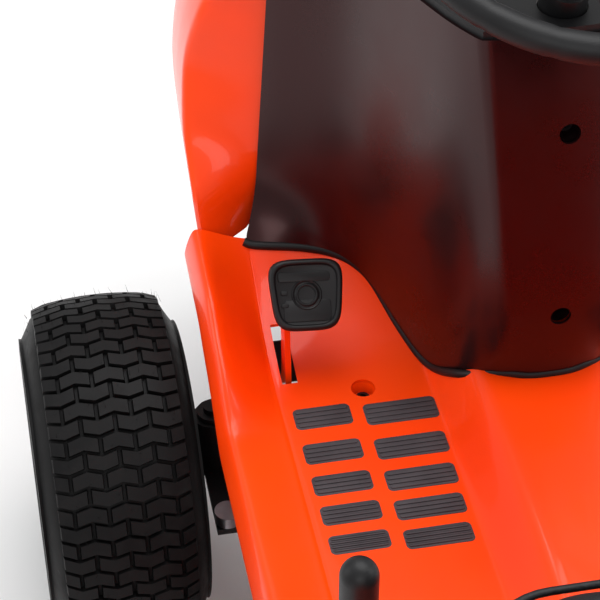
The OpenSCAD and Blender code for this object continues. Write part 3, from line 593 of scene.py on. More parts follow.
def tread_tree():
    """Chevron blocks in brick-offset rows and fine moulding hairs, wrapped onto a crowned tyre."""
    sizes = {"Radius": 0.19, "Half width": 0.07, "Pairs": 33, "Block": 0.035, "Groove": 0.0032, "Slope": 0.28}
    sizes.update({"Height": 0.007, "Crown": 0.022, "Hair": 0.008, "Seed": 3})
    t, g = geometry_tree("tread", sizes)
    pairs = g["Pairs"]
    pitch = (g["Radius"] - g["Height"]) * math.pi / pairs
    length = pitch - g["Groove"]

    def lug(width, across, slope, bend):
        grid = {"Size X": width, "Size Y": length, "Vertices X": across, "Vertices Y": 2}
        flat = t.add("GeometryNodeMeshGrid", {}, grid)
        x, y, z = split(t)
        lean = abs(x) if bend else x
        shaped = t.add("GeometryNodeSetPosition", {},
                       {"Geometry": flat, "Offset": vector(t, 0.0, lean * slope, 0.0)})
        pulled = t.add("GeometryNodeExtrudeMesh", {},
                       {"Mesh": shaped, "Offset Scale": g["Height"], "Individual": False})
        top = t.part(pulled, 1)
        tapered = t.add("GeometryNodeScaleElements", {},
                        {"Geometry": pulled, "Selection": top, "Scale": 0.93})
        base = t.add("GeometryNodeFlipFaces", {}, {0: shaped})
        return t.add("GeometryNodeMergeByDistance", {},
                     {"Geometry": joined(t, tapered, base), "Distance": 0.00005})

    def rows(shape, columns, start, shift, turn):
        """Instances on every second row; start is the first column in blocks from the centre."""
        reach = pitch * 2 * (pairs - 1)
        grid = {"Size X": g["Block"] * (columns - 1), "Size Y": reach, "Vertices X": columns,
                "Vertices Y": pairs}
        dots = t.add("GeometryNodeMeshGrid", {}, grid)
        middle_x = g["Block"] * (start + (columns - 1) / 2)
        moved = t.add("GeometryNodeTransform", {}, {"Geometry": dots, "Translation": vector(t, middle_x,
                shift, 0.0)})
        return t.add("GeometryNodeInstanceOnPoints", {},
                     {"Points": moved, "Instance": shape, "Rotation": (0, 0, turn)})

    block_w = g["Block"] - g["Groove"]
    full = lug(block_w, 3, g["Slope"], True)
    left = lug(g["Block"] * 0.5 - g["Groove"], 2, g["Slope"] * -1, False)
    right = lug(g["Block"] * 0.5 - g["Groove"], 2, g["Slope"], False)
    peak = g["Slope"] * g["Block"] * 0.5
    even = rows(full, 4, -1.5, 0.0, 0.0)
    odd = rows(full, 3, -1.0, pitch + peak, math.pi)
    ends = joined(t, rows(left, 1, -1.75, pitch + peak * 0.5, 0.0),
                  rows(right, 1, 1.75, pitch + peak * 0.5, 0.0))
    dots = t.add("GeometryNodeMeshGrid", {}, {"Size X": g["Half width"] * 1.9, "Size Y": pitch * 2 * pairs,
        "Vertices X": 12, "Vertices Y": 90})
    shake = t.add("FunctionNodeRandomValue", {"data_type": "FLOAT_VECTOR"},
                  {0: (-0.006,) * 3, 1: (0.006,) * 3, "Seed": g["Seed"]})
    x, y, z = split(t, shake)
    loose = t.add("GeometryNodeSetPosition", {}, {"Geometry": dots, "Offset": vector(t, x, y, 0.0)})
    hair = t.add("GeometryNodeMeshCone", {}, {"Vertices": 3, "Radius Top": 0.00008,
                                              "Radius Bottom": 0.00032, "Depth": g["Hair"]})
    x, y, z = split(t)
    lucky = t.add("FunctionNodeRandomValue", {"data_type": "FLOAT"}, {2: 0.0, 3: 1.0, "Seed": g["Seed"]}, 1)
    free = abs(y).under(pitch * (pairs - 3.2)) * lucky.under(0.34)
    lean = t.add("FunctionNodeRandomValue", {"data_type": "FLOAT_VECTOR"},
                 {0: (-0.5, -0.5, 0), 1: (0.5, 0.5, 0), "Seed": 11})
    grow = t.add("FunctionNodeRandomValue", {"data_type": "FLOAT"}, {2: 0.35, 3: 1.1, "Seed": 5}, 1)
    turned = t.add("FunctionNodeEulerToRotation", {}, {0: lean})
    hairs = t.add("GeometryNodeInstanceOnPoints", {}, {"Points": loose, "Selection": free, "Instance": hair,
        "Rotation": turned, "Scale": grow})
    raised = t.add("GeometryNodeSetPosition", {}, {"Geometry": t.add("GeometryNodeRealizeInstances", {},
            {0: hairs}),
        "Offset": vector(t, 0.0, 0.0, g["Height"] - 0.0008)})
    flat = t.add("GeometryNodeRealizeInstances", {}, {0: joined(t, even, odd, ends, raised)})
    x, y, z = split(t)
    q = abs(x) / g["Half width"]
    drop = g["Crown"] * (q * q * 0.42 + q ** 14.0)
    turn = y / (g["Radius"] - g["Height"])
    reach = g["Radius"] - g["Height"] - drop + z
    place = vector(t, x, reach * t.add("ShaderNodeMath", {"operation": "SINE"}, {0: turn}),
        reach * t.add("ShaderNodeMath", {"operation": "COSINE"}, {0: turn}))
    return end_tree(t, g, t.add("GeometryNodeSetPosition", {}, {"Geometry": flat, "Position": place}))


tread = tread_tree()


# ---- wheels ----
def tyre(name, body, x, y, radius, width, block, pairs, hair, seed):
    """Carcass with rounded shoulders and bead, and the tread blocks grown round it."""
    lug = 0.037 * radius
    half = width / 2
    crown = 0.115 * radius
    tread_half = 0.92 * half
    bead = radius - 0.54 * radius + 0.01 * radius
    tread_line = []
    for k in range(13):
        q = k / 12 * 0.97
        tread_line.append((radius - lug - crown * (0.42 * q * q + q ** 14), q * tread_half))
    low = bead + 0.02 * radius
    wall = [(radius - lug - 1.45 * crown, 0.955 * half), (radius - 0.2 * radius, 0.988 * half),
            (radius - 0.255 * radius, 0.994 * half), (radius - 0.262 * radius, 0.975 * half),
            (radius - 0.275 * radius, 0.975 * half), (radius - 0.282 * radius, 0.994 * half),
            (radius - 0.36 * radius, 0.97 * half), (radius - 0.42 * radius, 0.9 * half),
            (radius - 0.44 * radius, 0.87 * half), (radius - 0.45 * radius, 0.885 * half),
            (radius - 0.47 * radius, 0.86 * half), (low + 0.03 * radius, 0.79 * half), (low, 0.76 * half)]
    side = tread_line + wall
    profile = [(r, -u) for r, u in reversed(side)] + side[1:]
    carcass = settle(name, spun(name, profile, (x, y, radius), steps=128), (), 30)
    dress(carcass, tyre_rubber, body, "tyre_rubber", name)
    sizes = {"Radius": radius * MM, "Half width": tread_half * MM, "Pairs": pairs, "Block": block * MM}
    sizes.update({"Groove": block * 0.09 * MM, "Height": (lug - 0.6) * MM, "Crown": crown * MM,
                  "Hair": hair * MM})
    sizes["Seed"] = seed
    blocks = grown(name + ".tread", tread, tyre_rubber, sizes, None, 25)
    blocks.data.transform(Matrix.Translation(Vector((x, y, radius)) * MM))
    keep(blocks, body, "tyre_rubber")


for side, hand in ((-1, "left"), (1, "right")):
    tyre("tyre_front_" + hand, "wheel_front_" + hand, side * front_wheel_x, front_y, front_r, front_w, 34.6,
         33, 9, 3)
    tyre("tyre_rear_" + hand, "wheel_rear_" + hand, side * rear_wheel_x, rear_y, rear_r, rear_w, 46.5, 35,
         7, 4)


# ---- footrest panel ----
toe_start = front_y - 118
slot_x = 242
SKIN = 3


def floor_height(y):
    return floor_z + 97 * (max(0, y - toe_start) / 200) ** 2


def wheel_clear(y):
    reach = front_r + 12
    away = abs(y - front_y)
    return front_r + (math.sqrt(reach ** 2 - away ** 2) if away < reach else 0) + 10


def skirt_height(y):
    if y > front_y - 46:
        return 408 + max(0, y - front_y + 46) * 0.16
    return max(floor_z - 22, wheel_clear(y))


def tunnel_height(y):
    return 412 - 0.06 * max(0, front_y - 175 - y) + 0.10 * max(0, y - front_y + 175)


def panel_side(y):
    """One side of a section, from the outer bottom edge to the centre line."""
    f = floor_height(y)
    s = skirt_height(y)
    lip = max(f + 2, s + 30)
    top = max(tunnel_height(y), f + 6)
    w = footrest_hw
    rise = top - f
    edge = lip - f
    return [(w, s), (w, s + 3), (w - 2, s + 0.4 * (lip - s)), (w - 6, lip - 6), (w - 8.4, lip - 1.6),
            (w - 9.6, lip - 0.3),
            (w - 11.5, lip), (w - 18, f + 0.9 * edge), (w - 28, f + 0.66 * edge), (w - 40, f + 0.36 * edge),
            (w - 54, f + 0.1 * edge), (w - 59, f + 0.8), (w - 61, f + 0.5), (w - 63, f - 0.6), (w - 65,
                    f - 0.6),
            (w - 67, f + 0.3), (w - 72, f + 0.4), (200, f + 0.5), (150, f + 0.4), (112, f), (105, f), (102,
                    f + 0.5),
            (96, f + 0.13 * rise), (86, f + 0.42 * rise), (72, f + 0.84 * rise), (66, f + 0.93 * rise),
            (56, f + 0.98 * rise), (30, top), (0, top + 1)]


def both_sides(side):
    return [(-x, z) for x, z in side] + [(x, z) for x, z in reversed(side[:-1])]


def panel_at(x, y):
    side = panel_side(y)
    for (x0, z0), (x1, z1) in zip(side, side[1:]):
        if x1 <= abs(x) <= x0:
            return z0 + (z1 - z0) * (x0 - abs(x)) / max(x0 - x1, 0.001)
    return side[0][1]


def sheet_rows(name, rows, modifiers, sharp=38, crease=None):
    columns = len(rows[0])
    points = [p for row in rows for p in row]
    mesh = raw(name, points, grid_faces(len(rows), columns), crease)
    return settle(name, mesh, modifiers, sharp)


ROWS = 34
panel_rows = []
for i in range(ROWS):
    y = floor_back + (floor_front - floor_back) * i / (ROWS - 1)
    panel_rows.append([(x, y, z) for x, z in both_sides(panel_side(y))])
skin = {"thickness": SKIN * MM, "offset": -1.0, "use_even_offset": True}
round_once = {"levels": 1, "render_levels": 1}
round_twice = {"levels": 2, "render_levels": 2}
panel = sheet_rows("footrest_cover", panel_rows, [("SUBSURF", round_once), ("SOLIDIFY", skin)])
screw_x = middle("panel_screws", 0) + 171
screw_y = middle("panel_screws", 1)
slots = [brick(s * slot_x - 8, s * slot_x + 8, front_y - 91, front_y - 22, floor_z - 40, floor_z + 80)
         for s in (-1, 1)]
wells = [rod((s * screw_x, screw_y, 0), "Z", 12.2, floor_z - 20, floor_z + 30, 40) for s in (-1, 1)]
column_hole = rod((0, 0, 0), "Z", 25, -560, -400, 40)
lean = Matrix.Translation(Vector((0, front_y - 160, 930)) * MM) @ Matrix.Rotation(math.radians(20), 4, "X")
column_hole.transform(lean)
cut(panel, slots + wells + [column_hole])
cups = []
for s in (-1, 1):
    well = [(12.2, 0.4), (12.9, 0.4), (13.6, -0.6), (12.6, -3.4), (11.6, -13.5), (3.6, -14.5), (3.6, -12.5),
            (10, -11.6), (11.6, -1.4)]
    cups.append(spun("cup", well, (s * screw_x, screw_y, floor_z + 0.7), "Z", 48))
panel.data = merged("footrest_cover", [panel.data] + cups)
panel.data.shade_smooth()
panel.data.set_sharp_from_angle(angle=math.radians(38))
dress(panel, body_paint, "root", "body_paint", "footrest_panel")
heads = []
for s in (-1, 1):
    head = [(0.001, -12), (7.5, -12), (8.2, -11.4), (8.2, -10.2), (7.2, -8.6), (3.6, -8), (3.2, -10.5),
            (0.001, -10.5)]
    heads.append(spun("head", head, (s * screw_x, screw_y, floor_z + 0.7), "Z", 40))
screws = settle("panel_screw_heads", merged("panel_screw_heads", heads))
dress(screws, frame_paint, "root", "frame_paint", "panel_screws")


# ---- footrest pads ----
PAD_ROWS = (143, 193, 237, 277, 315)
PAD_RISE = 5.2


def foot_pad(x0, x1, y, length):
    """A rounded rubber slab with four ribs along it."""
    shape = outline((x1 - x0) / 2, length / 2, 5.5)
    place = Matrix.Translation(((x0 + x1) / 2, y, floor_z))
    parts = [block("slab", shape, 0.2, PAD_RISE - 1.3, 1.2, place)]
    rib = (length - 4.4) / 4 - 1.1
    for k in range(4):
        across = -length / 2 + 2.2 + rib / 2 + 0.5 + k * (rib + 1.1)
        inset = 2.6 if k in (0, 3) else 1.2
        strip = outline((x1 - x0) / 2 - inset, rib / 2, 2.2, 4)
        parts.append(block("rib", strip, PAD_RISE - 2.4, PAD_RISE, 0.9,
                           place @ Matrix.Translation((0, across, 0))))
    return merged("pad", parts)


for hand, side in (("left", -1), ("right", 1)):
    pads = []
    for i, back in enumerate(PAD_ROWS):
        length = 30
        for x0, x1, shift, extra in ((190, 248, 0, 0), (104 + 2 * i, 178, 6, 1)):
            a, b = (x0, x1) if side > 0 else (-x1, -x0)
            pads.append(foot_pad(a, b, front_y - back - shift, length + extra - 1.5 * i))
    thing = settle("footrest_pads_" + hand, merged("pads", pads), (), 40)
    dress(thing, pad_rubber, "root", "pad_rubber", "foot_pads_" + hand)


# ---- cowl ----
COWL_BASE = ((262, 56), (250, 52), (205, 46), (172, 38), (150, 26), (134, 6), (117, -40), (99, -92),
             (80, -142), (44, -168), (22, -176), (0, -178))
COWL_MID = ((240, 94), (228, 84), (190, 61), (164, 38), (146, 10), (131, -24), (112, -76), (91, -128),
            (73, -162), (52, -184), (28, -188), (0, -189))
COWL_TOP = ((222, 98), (212, 88), (184, 64), (163, 44), (147, 16), (134, -16), (117, -62), (103, -98),
            (92, -120), (80, -140), (42, -146), (0, -148))
COWL_MID_Z = 510
COWL_SEAT = 3


def cowl_point(i, t):
    base, mid, top = COWL_BASE[i], COWL_MID[i], COWL_TOP[i]
    start = panel_at(base[0], front_y + base[1]) + COWL_SEAT
    if t < 0.3:
        k = t / 0.3
        soft = 1 - (1 - k) ** 2
        x, y = (base[n] * (1 - soft) + mid[n] * soft for n in (0, 1))
        z = start + (COWL_MID_Z - start) * k
    else:
        k = (t - 0.3) / 0.7
        x, y = (mid[n] * (1 - k) + top[n] * k for n in (0, 1))
        z = COWL_MID_Z + (dash_z - COWL_MID_Z) * k
    return x, front_y + y, z


def cowl_row(t):
    side = [cowl_point(i, t) for i in range(12)]
    return [(-x, y, z) for x, y, z in side] + [(x, y, z) for x, y, z in reversed(side[:-1])]


COWL_STEPS = (0, 0.03, 0.08, 0.14, 0.21, 0.3, 0.4, 0.52, 0.66, 0.8, 0.92, 1)
RIDGE = (9, 13)


def ridge(a, b):
    same = a % 23 == b % 23
    return 0.72 if same and a % 23 in RIDGE else 0.0


cowl = sheet_rows("cowl_cover", [cowl_row(t) for t in COWL_STEPS],
                  [("SUBSURF", round_twice), ("SOLIDIFY", skin)], 50, ridge)
cowl_screws = (499, 691)
cut(cowl, [rod((0, 0, z), "Y", 10, front_y - 230, front_y - 100) for z in cowl_screws])
wells = []
heads = []
for z in cowl_screws:
    k = (z - COWL_MID_Z) / (dash_z - COWL_MID_Z)
    back = front_y - 184 + 36 * max(k, 0)
    well = [(10, -0.4), (10.9, -0.3), (11.4, 0.6), (10.9, 3), (9.6, 15), (3.4, 15.4), (3.4, 13.6),
            (8.4, 13), (9.9, 1.8)]
    wells.append(spun("well", well, (0, back, z), "Y", 40))
    heads.append(spun("head", [(0.001, 12.4), (6.4, 12.4), (6.6, 10.8), (5.4, 9), (2.6, 8.6), (2.4, 10.6),
                               (0.001, 10.6)], (0, back, z), "Y", 32))
cowl.data = merged("cowl_cover", [cowl.data] + wells)
cowl.data.shade_smooth()
cowl.data.set_sharp_from_angle(angle=math.radians(50))
dress(cowl, cowl_plastic, "root", "cowl_plastic", "dash_cowl")
dress(settle("cowl_screw_heads", merged("heads", heads)), frame_paint, "root", "frame_paint")
foot = cowl_row(0)
hem_path = [Vector((x * 1.004, y - 1.2, z + 1.0)) for x, y, z in foot]
smooth_path = []
for i in range(len(hem_path) - 1):
    p0 = hem_path[max(i - 1, 0)]
    p1, p2 = hem_path[i], hem_path[i + 1]
    p3 = hem_path[min(i + 2, len(hem_path) - 1)]
    for k in range(6):
        t = k / 6
        smooth_path.append(0.5 * (2 * p1 + (p2 - p0) * t + (2 * p0 - 5 * p1 + 4 * p2 - p3) * t * t
                                  + (3 * p1 - p0 - 3 * p2 + p3) * t ** 3))
smooth_path.append(hem_path[-1])
hem = settle("cowl_hem", swept("cowl_hem", smooth_path, 4.6, 12), (), 60)
dress(hem, black_plastic, "root", "cowl_plastic")


# ---- hood ----
hood_back = front_y + 104.6
HOOD_BASE = 454


REAR_EDGE = ((0, -14), (0.12, 8), (0.335, 62), (0.5, 78), (0.7, 62), (0.89, 18), (1, 0))


def level(table, at):
    for (x0, y0), (x1, y1) in zip(table, table[1:]):
        if at <= x1:
            k = (at - x0) / (x1 - x0)
            return y0 + (y1 - y0) * k * k * (3 - 2 * k)
    return table[-1][1]


def signed_power(value, power):
    return math.copysign(abs(value) ** power, value)


def hood_point(s, turn, out=0.0):
    """A point of the hood: s from the rear edge to the nose, turn from the left foot over the top."""
    w = hood_hw * (1 - 0.05 * s - 0.15 * s ** 5)
    low = HOOD_BASE - 14 * s
    high = hood_z - 110 * s * s - 96 * s ** 6
    up = max(0.0, math.sin(turn))
    share = up ** 0.62
    y = hood_back + (hood_front - hood_back) * s - 40 * (1 - s) ** 2 * (1 - up ** 0.8)
    y += 0.9 * level(REAR_EDGE, share) * (1 - s) ** 3
    x = -w * signed_power(math.cos(turn), 0.5)
    low -= 26 * max(0.0, 1 - s / 0.25)
    z = low + (high - low) * share
    tuck = 7.0 * max(0.0, 1 - share / 0.3) ** 1.2
    x -= math.copysign(tuck, x) if abs(x) > 1 else 0
    middle_z = (low + high) / 2
    away = Vector((x, 0, (z - middle_z) * 0.9)).normalized() * out
    return Vector((x, y, z)) + away


HOOD_ROWS = 30
HOOD_COLUMNS = 65
hood_rows = []
for i in range(HOOD_ROWS):
    s = (i / (HOOD_ROWS - 1)) ** 0.9
    row = []
    for j in range(HOOD_COLUMNS):
        k = j / (HOOD_COLUMNS - 1)
        even = k + 0.055 * math.sin(4 * math.pi * k) * -1
        row.append(hood_point(s, math.pi * min(max(even, 0), 1)))
    hood_rows.append(row)
edge = hood_rows[0]


def turned_in(p, share):
    """A point of the rear edge drawn in to the cowl's outline."""
    side = min(1.0, abs(p.x) / hood_hw)
    near = min(abs(p.x) * 0.9, 250 - 0.24 * (p.z - 430))
    goal = Vector((math.copysign(near, p.x), front_y + 98, p.z - 12 * (1 - side)))
    return p.lerp(goal, share)


returns = [[turned_in(p, share) for p in edge] for share in (1.0, 0.8, 0.6, 0.4, 0.2, 0.06)]
hood = sheet_rows("hood_cover", returns + hood_rows, [("SUBSURF", round_once), ("SOLIDIFY", skin)], 40)
dress(hood, body_paint, "hood", "body_paint", "hood_shell")
ribs = []
for side in (-1, 1):
    for k in range(11):
        path = []
        for n in range(9):
            t = n / 8
            s = 0.10 + 0.035 * k + 0.14 * t
            turn = 0.62 + 0.05 * k + 0.16 * t
            point = hood_point(s, turn, 0.25)
            path.append((point.x * -side, point.y, point.z))
        ribs.append(swept("rib", path, [0.2 + 0.7 * math.sin(math.pi * (0.08 + 0.84 * n / 8))
                                        for n in range(9)], 8))
dress(settle("hood_side_lines", merged("ribs", ribs), (), 60), body_paint, "hood", "body_paint")


# ---- pedals ----
PAD_TILT = 46
pedal_y = front_y - 72
pedal_z = middle("pedal_shafts", 2)
pad_hub = Vector((0, pedal_y + 6, pedal_z + 158))


def pedal_face(half_x, half_y, bulge, narrow, steps=60):
    """A square outline with bulging sides, narrower at its lower edge."""
    points = []
    for k in range(steps):
        turn = 2 * math.pi * k / steps
        c, s = math.cos(turn), math.sin(turn)
        reach = (abs(c) ** bulge + abs(s) ** bulge) ** (-1 / bulge)
        x, y = half_x * reach * c, half_y * reach * s
        points.append((x * (1 + narrow * y / half_y), y))
    return points


def pedal_pad(name, x, half_x, half_y):
    """Rubber pad with a thick rounded rim, a stepped recess, a ring and two moulded pips."""
    shape = pedal_face(half_x, half_y, 4.4, 0.09)
    count = len(shape)
    layers = [(-9, 0.93), (-7.5, 0.985), (-4.5, 1.0), (-1.5, 0.985), (0.4, 0.95), (1.1, 0.91), (0.9, 0.87),
              (0.0, 0.845), (-2.6, 0.82), (-2.9, 0.8)]
    points = [(px * k, py * k, z) for z, k in layers for px, py in shape]
    faces = []
    for i in range(len(layers) - 1):
        for k in range(count):
            a = i * count + k
            b = i * count + (k + 1) % count
            faces.append((a, b, b + count, a + count))
    faces.append(tuple(range(count))[::-1])
    faces.append(tuple(range((len(layers) - 1) * count, len(layers) * count)))
    parts = [cleaned(raw("rim", points, faces), 0.000001)]
    upper = outline(half_x * 0.72, half_y * 0.13, 3)
    parts.append(block("step", upper, -3.4, -1.6, 0.6, Matrix.Translation((-2, half_y * 0.5, 0))))
    lower = outline(half_x * 0.66, half_y * 0.3, 4)
    parts.append(block("plate", lower, -3.4, -2.2, 0.5, Matrix.Translation((0, -half_y * 0.44, 0))))
    ring = [(8.6, -3.2), (8.8, -1.2), (9.6, -0.5), (10.6, -0.6), (11.2, -1.6), (12.6, -2.4), (13.4, -1.8),
            (14.4, -1.4), (15.2, -2), (15.6, -3.2)]
    parts.append(spun("ring", ring, (0, 0, 0), "Z", 48))
    for dy in (2.5, -10):
        pip = outline(3.4, 1.9, 1)
        parts.append(block("pip", pip, -3.4, -1.6, 0.5, Matrix.Translation((-half_x * 0.62, dy, 0))))
    thing = settle(name, merged(name, parts), (), 40)
    turn = Matrix.Rotation(math.radians(PAD_TILT), 4, "X") @ Matrix.Rotation(math.radians(-4), 4, "Z")
    thing.data.transform(Matrix.Translation((Vector((x, 0, 0)) + pad_hub) * MM) @ turn)
    return thing


brake = pedal_pad("brake_pedal_pad", -220, 36, 36)
dress(brake, pedal_rubber, "brake_pedal", "pad_rubber", "brake_pad")
drive = pedal_pad("drive_pedal_pad", 220, 39, 43)
dress(drive, pedal_rubber, "drive_pedal", "pad_rubber", "drive_pad")


# ---- guards behind the pedal slots ----
guards = []
for s in (-1, 1):
    for y0, y1 in ((front_y - 16, front_y - 13), (front_y - 104, front_y - 101)):
        guards.append(brick(s * slot_x - 34, s * slot_x + 34, y0, y1, floor_z - 62, floor_z - 4))
    for x0, x1 in ((-34, -31), (31, 34)):
        guards.append(brick(s * slot_x + x0, s * slot_x + x1, front_y - 104, front_y - 13, floor_z - 62,
                            floor_z - 4))
dress(settle("pedal_guards", merged("guards", guards)), black_plastic, "root", "black_plastic")


# ---- rear fender ----
fender_front = floor_back - 4
fender_back = span("rear_fender", 1)[0]
FENDER_PATH = ((0, 2, 0, 0), (-8, 40, 0, 0), (-30, -34, 1, 0.02), (-42, -12, 1, 0.06), (-64, -1, 1, 0.1),
               (-110, 0, 1, 0.2), (-180, 0, 1, 0.45), (-280, 0, 1, 0.86), (-380, 0, 1, 1), (-480, 2, 1, 1),
               (-600, 4, 1, 1), (-700, 3, 1, 0.98))
FENDER_TAIL = ((40, -4, 0.9), (16, -20, 0.8), (2, -60, 0.74), (0, -120, 0.7))


def fender_row(y, z, wide):
    w = footrest_hw - 14 + wide * (fender_hw - footrest_hw + 14)
    drop = min(56, z - floor_z - 1) * (0.25 + 0.75 * wide)
    side = [(w, z - drop), (w, z - 0.9 * drop), (w - 3, z - 0.5 * drop), (w - 10, z - 0.16 * drop),
            (w - 22, z - 0.02 * drop), (w - 40, z),
            (0.8 * w, z + 1), (0.62 * w, z + 2), (0.42 * w, z + 2.5), (0.2 * w, z + 3), (0, z + 3)]
    return [(-a, y, b) for a, b in side] + [(a, y, b) for a, b in reversed(side[:-1])]


fender_rows = [fender_row(fender_back + y, fender_z + z, wide) for y, z, wide in reversed(FENDER_TAIL)]
for y, z, upper, wide in reversed(FENDER_PATH):
    fender_rows.append(fender_row(fender_front + y, (fender_z if upper else floor_z) + z, wide))
fender = sheet_rows("fender_cover", fender_rows, [("SUBSURF", round_twice), ("SOLIDIFY", skin)], 40)
lift_x = 300
lift_y = fender_front - 70
tank_y = middle("fuel_cap", 1)
cap_x = middle("fuel_cap", 0)
openings = [brick(s * lift_x - 9, s * lift_x + 9, lift_y - 130, lift_y + 24, fender_z - 30, fender_z + 30)
            for s in (-1, 1)]
openings.append(rod((cap_x, tank_y, 0), "Z", 25, fender_z - 30, fender_z + 30))
cut(fender, openings)
dress(fender, body_paint, "root", "body_paint", "rear_fender")
rims = []
for s in (-1, 1):
    x0, x1, y0, y1 = s * lift_x - 9, s * lift_x + 9, lift_y - 130, lift_y + 24
    corners = [(x0, y0), (x1, y0), (x1, y1), (x0, y1)]
    path = []
    for (ax, ay), (bx, by) in zip(corners, corners[1:] + corners[:1]):
        for k in range(4):
            t = 0.04 + 0.92 * k / 3
            path.append((ax + (bx - ax) * t, ay + (by - ay) * t, fender_z + 2.6))
    rims.append(swept("slot_rim", path, 3.2, 8, True))
dress(settle("lever_slot_rims", merged("slot_rims", rims), (), 60), black_plastic, "root", "black_plastic")


# ---- steering wheel ----
hub = Vector((0, front_y - 160, 930))
wheel_r = (span("steering_wheel", 0)[1] - span("steering_wheel", 0)[0]) / 2
grip = 13
on_hub = Matrix.Translation(hub * MM) @ Matrix.Rotation(math.radians(20), 4, "X")
ring = []
for k in range(144):
    turn = 2 * math.pi * k / 144
    reach = wheel_r - grip
    size = grip - 0.9 * max(0.0, math.sin(turn * 18)) ** 6
    ring.append((Vector((reach * math.cos(turn), reach * math.sin(turn), 0)), size))
parts = [swept("grip", [p for p, size in ring], [size for p, size in ring], 20, True)]
for turn in (-90, 30, 150):
    a = math.radians(turn)
    out = Vector((math.cos(a), math.sin(a), 0))
    path = [out * r + Vector((0, 0, z)) for r, z in ((24, -24), (52, -22), (84, -17), (118, -10), (150, -3),
                                                     (wheel_r - 13, 0))]
    parts.append(swept("spoke", path, [23, 21, 19, 18, 18, 15], 20, False, 0.36))
hub_line = [(0.001, -96), (17, -96), (17, -52), (38, -44), (42, -40), (43, -26), (41, -16), (36, -9),
            (28, -5.5), (16, -4.2), (0.001, -4)]
parts.append(spun("hub", hub_line, (0, 0, 0), "Z", 64))
parts.append(spun("cap_ring", [(25, -5.6), (26, -4.4), (28, -4.6), (29, -6.4)], (0, 0, 0), "Z", 64))
wheel = settle("steering_wheel_soft", merged("wheel", parts), (), 45)
wheel.data.transform(on_hub)
wheel.data.update()
dress(wheel, black_plastic, "steering", "black_plastic", "steering_wheel")


# ---- seat ----
def puffed(name, mesh, cap, pressure):
    """Swells a closed mesh with cloth under air pressure; cap is how far a point may move, in millimetres."""
    thing = settle(name, mesh, [("REMESH", {"mode": "VOXEL", "voxel_size": 0.0065})], 180)
    start = [v.co.copy() for v in thing.data.vertices]
    cloth = thing.modifiers.new("cloth", "CLOTH")
    cloth.settings.use_pressure = True
    cloth.settings.uniform_pressure_force = pressure
    cloth.settings.effector_weights.gravity = 0
    cloth.settings.tension_stiffness = 18
    cloth.settings.quality = 6
    for at in range(1, 21):
        scene.frame_set(at)
    graph = bpy.context.evaluated_depsgraph_get()
    made = bpy.data.meshes.new_from_object(thing.evaluated_get(graph))
    thing.modifiers.clear()
    thing.data = made
    for v, was in zip(made.vertices, start):
        move = v.co - was
        if move.length > cap * MM:
            v.co = was + move.normalized() * cap * MM
    scene.frame_set(1)
    finer = settle(name, thing.data, [("SMOOTH", {"iterations": 3, "factor": 0.5}), ("SUBSURF",
            round_once)], 180)
    bpy.data.objects.remove(thing)
    return finer


def slab(shape, layers):
    """A closed form from one outline at several heights; layers are (height, scale)."""
    count = len(shape)
    points = [(x * k, y * k, z) for z, k in layers for x, y in shape]
    faces = []
    for i in range(len(layers) - 1):
        for k in range(count):
            a = i * count + k
            b = i * count + (k + 1) % count
            faces.append((a, b, b + count, a + count))
    faces.append(tuple(range(count))[::-1])
    faces.append(tuple(range((len(layers) - 1) * count, len(layers) * count)))
    return cleaned(raw("slab", points, faces), 0.000001)


def channels(mesh, lines, axis, depth, width, top):
    """Presses sewn channels into the upper side of a cushion."""
    for v in mesh.vertices:
        if v.co.z * 1000 < top:
            continue
        at = v.co[axis] * 1000
        pull = sum(math.exp(-((at - line) / width) ** 2) for line in lines)
        v.co.z -= depth * MM * min(pull, 1.0)


seat_x = (span("seat_cushion", 0)[1] - span("seat_cushion", 0)[0]) / 2
seat_y = (span("seat_cushion", 1)[1] - span("seat_cushion", 1)[0]) / 2
seat_low, seat_high = span("seat_cushion", 2)
seat_mid = middle("seat_cushion", 1)
rise = seat_high - seat_low
base_shape = outline(seat_x - 13, seat_y - 12, 62, 10)
cushion_mesh = slab(base_shape, [(0.6, 0.9), (5, 0.97), (rise * 0.35, 1.0), (rise * 0.62, 0.99),
                                 (rise * 0.8, 0.93), (rise * 0.86, 0.84)])
cushion = puffed("seat_cushion_soft", cushion_mesh, 13, 4)
for v in cushion.data.vertices:
    v.co.z = min(max(v.co.z, 0.0004), (rise - 0.5) * MM)
    side = abs(v.co.x) / (seat_x * MM)
    front = v.co.y / (seat_y * MM)
    high = v.co.z / (rise * MM)
    v.co.z += 0.007 * high * (side ** 3 * 0.6 - 0.7 * (1 - side) - 0.3 * max(front, 0) ** 3)
channels(cushion.data, (-118, 118), 0, 6.5, 7.0, rise * 0.55)
channels(cushion.data, (-70, 0, 70), 1, 4.0, 6.0, rise * 0.66)
for v in cushion.data.vertices:
    v.co += Vector((0, seat_mid, seat_low)) * MM
dress(cushion, seat_vinyl, "seat", "seat_vinyl", "seat_cushion")
piping = []
for z, scale in ((rise * 0.5, 1.008),):
    for x, y in outline((seat_x - 13) * scale, (seat_y - 12) * scale, 62, 10):
        piping.append((x, y + seat_mid, seat_low + z))
cord_line = settle("seat_piping", swept("seat_piping", piping, 3.2, 8, True), (), 60)
dress(cord_line, seat_vinyl, "seat", "seat_vinyl")

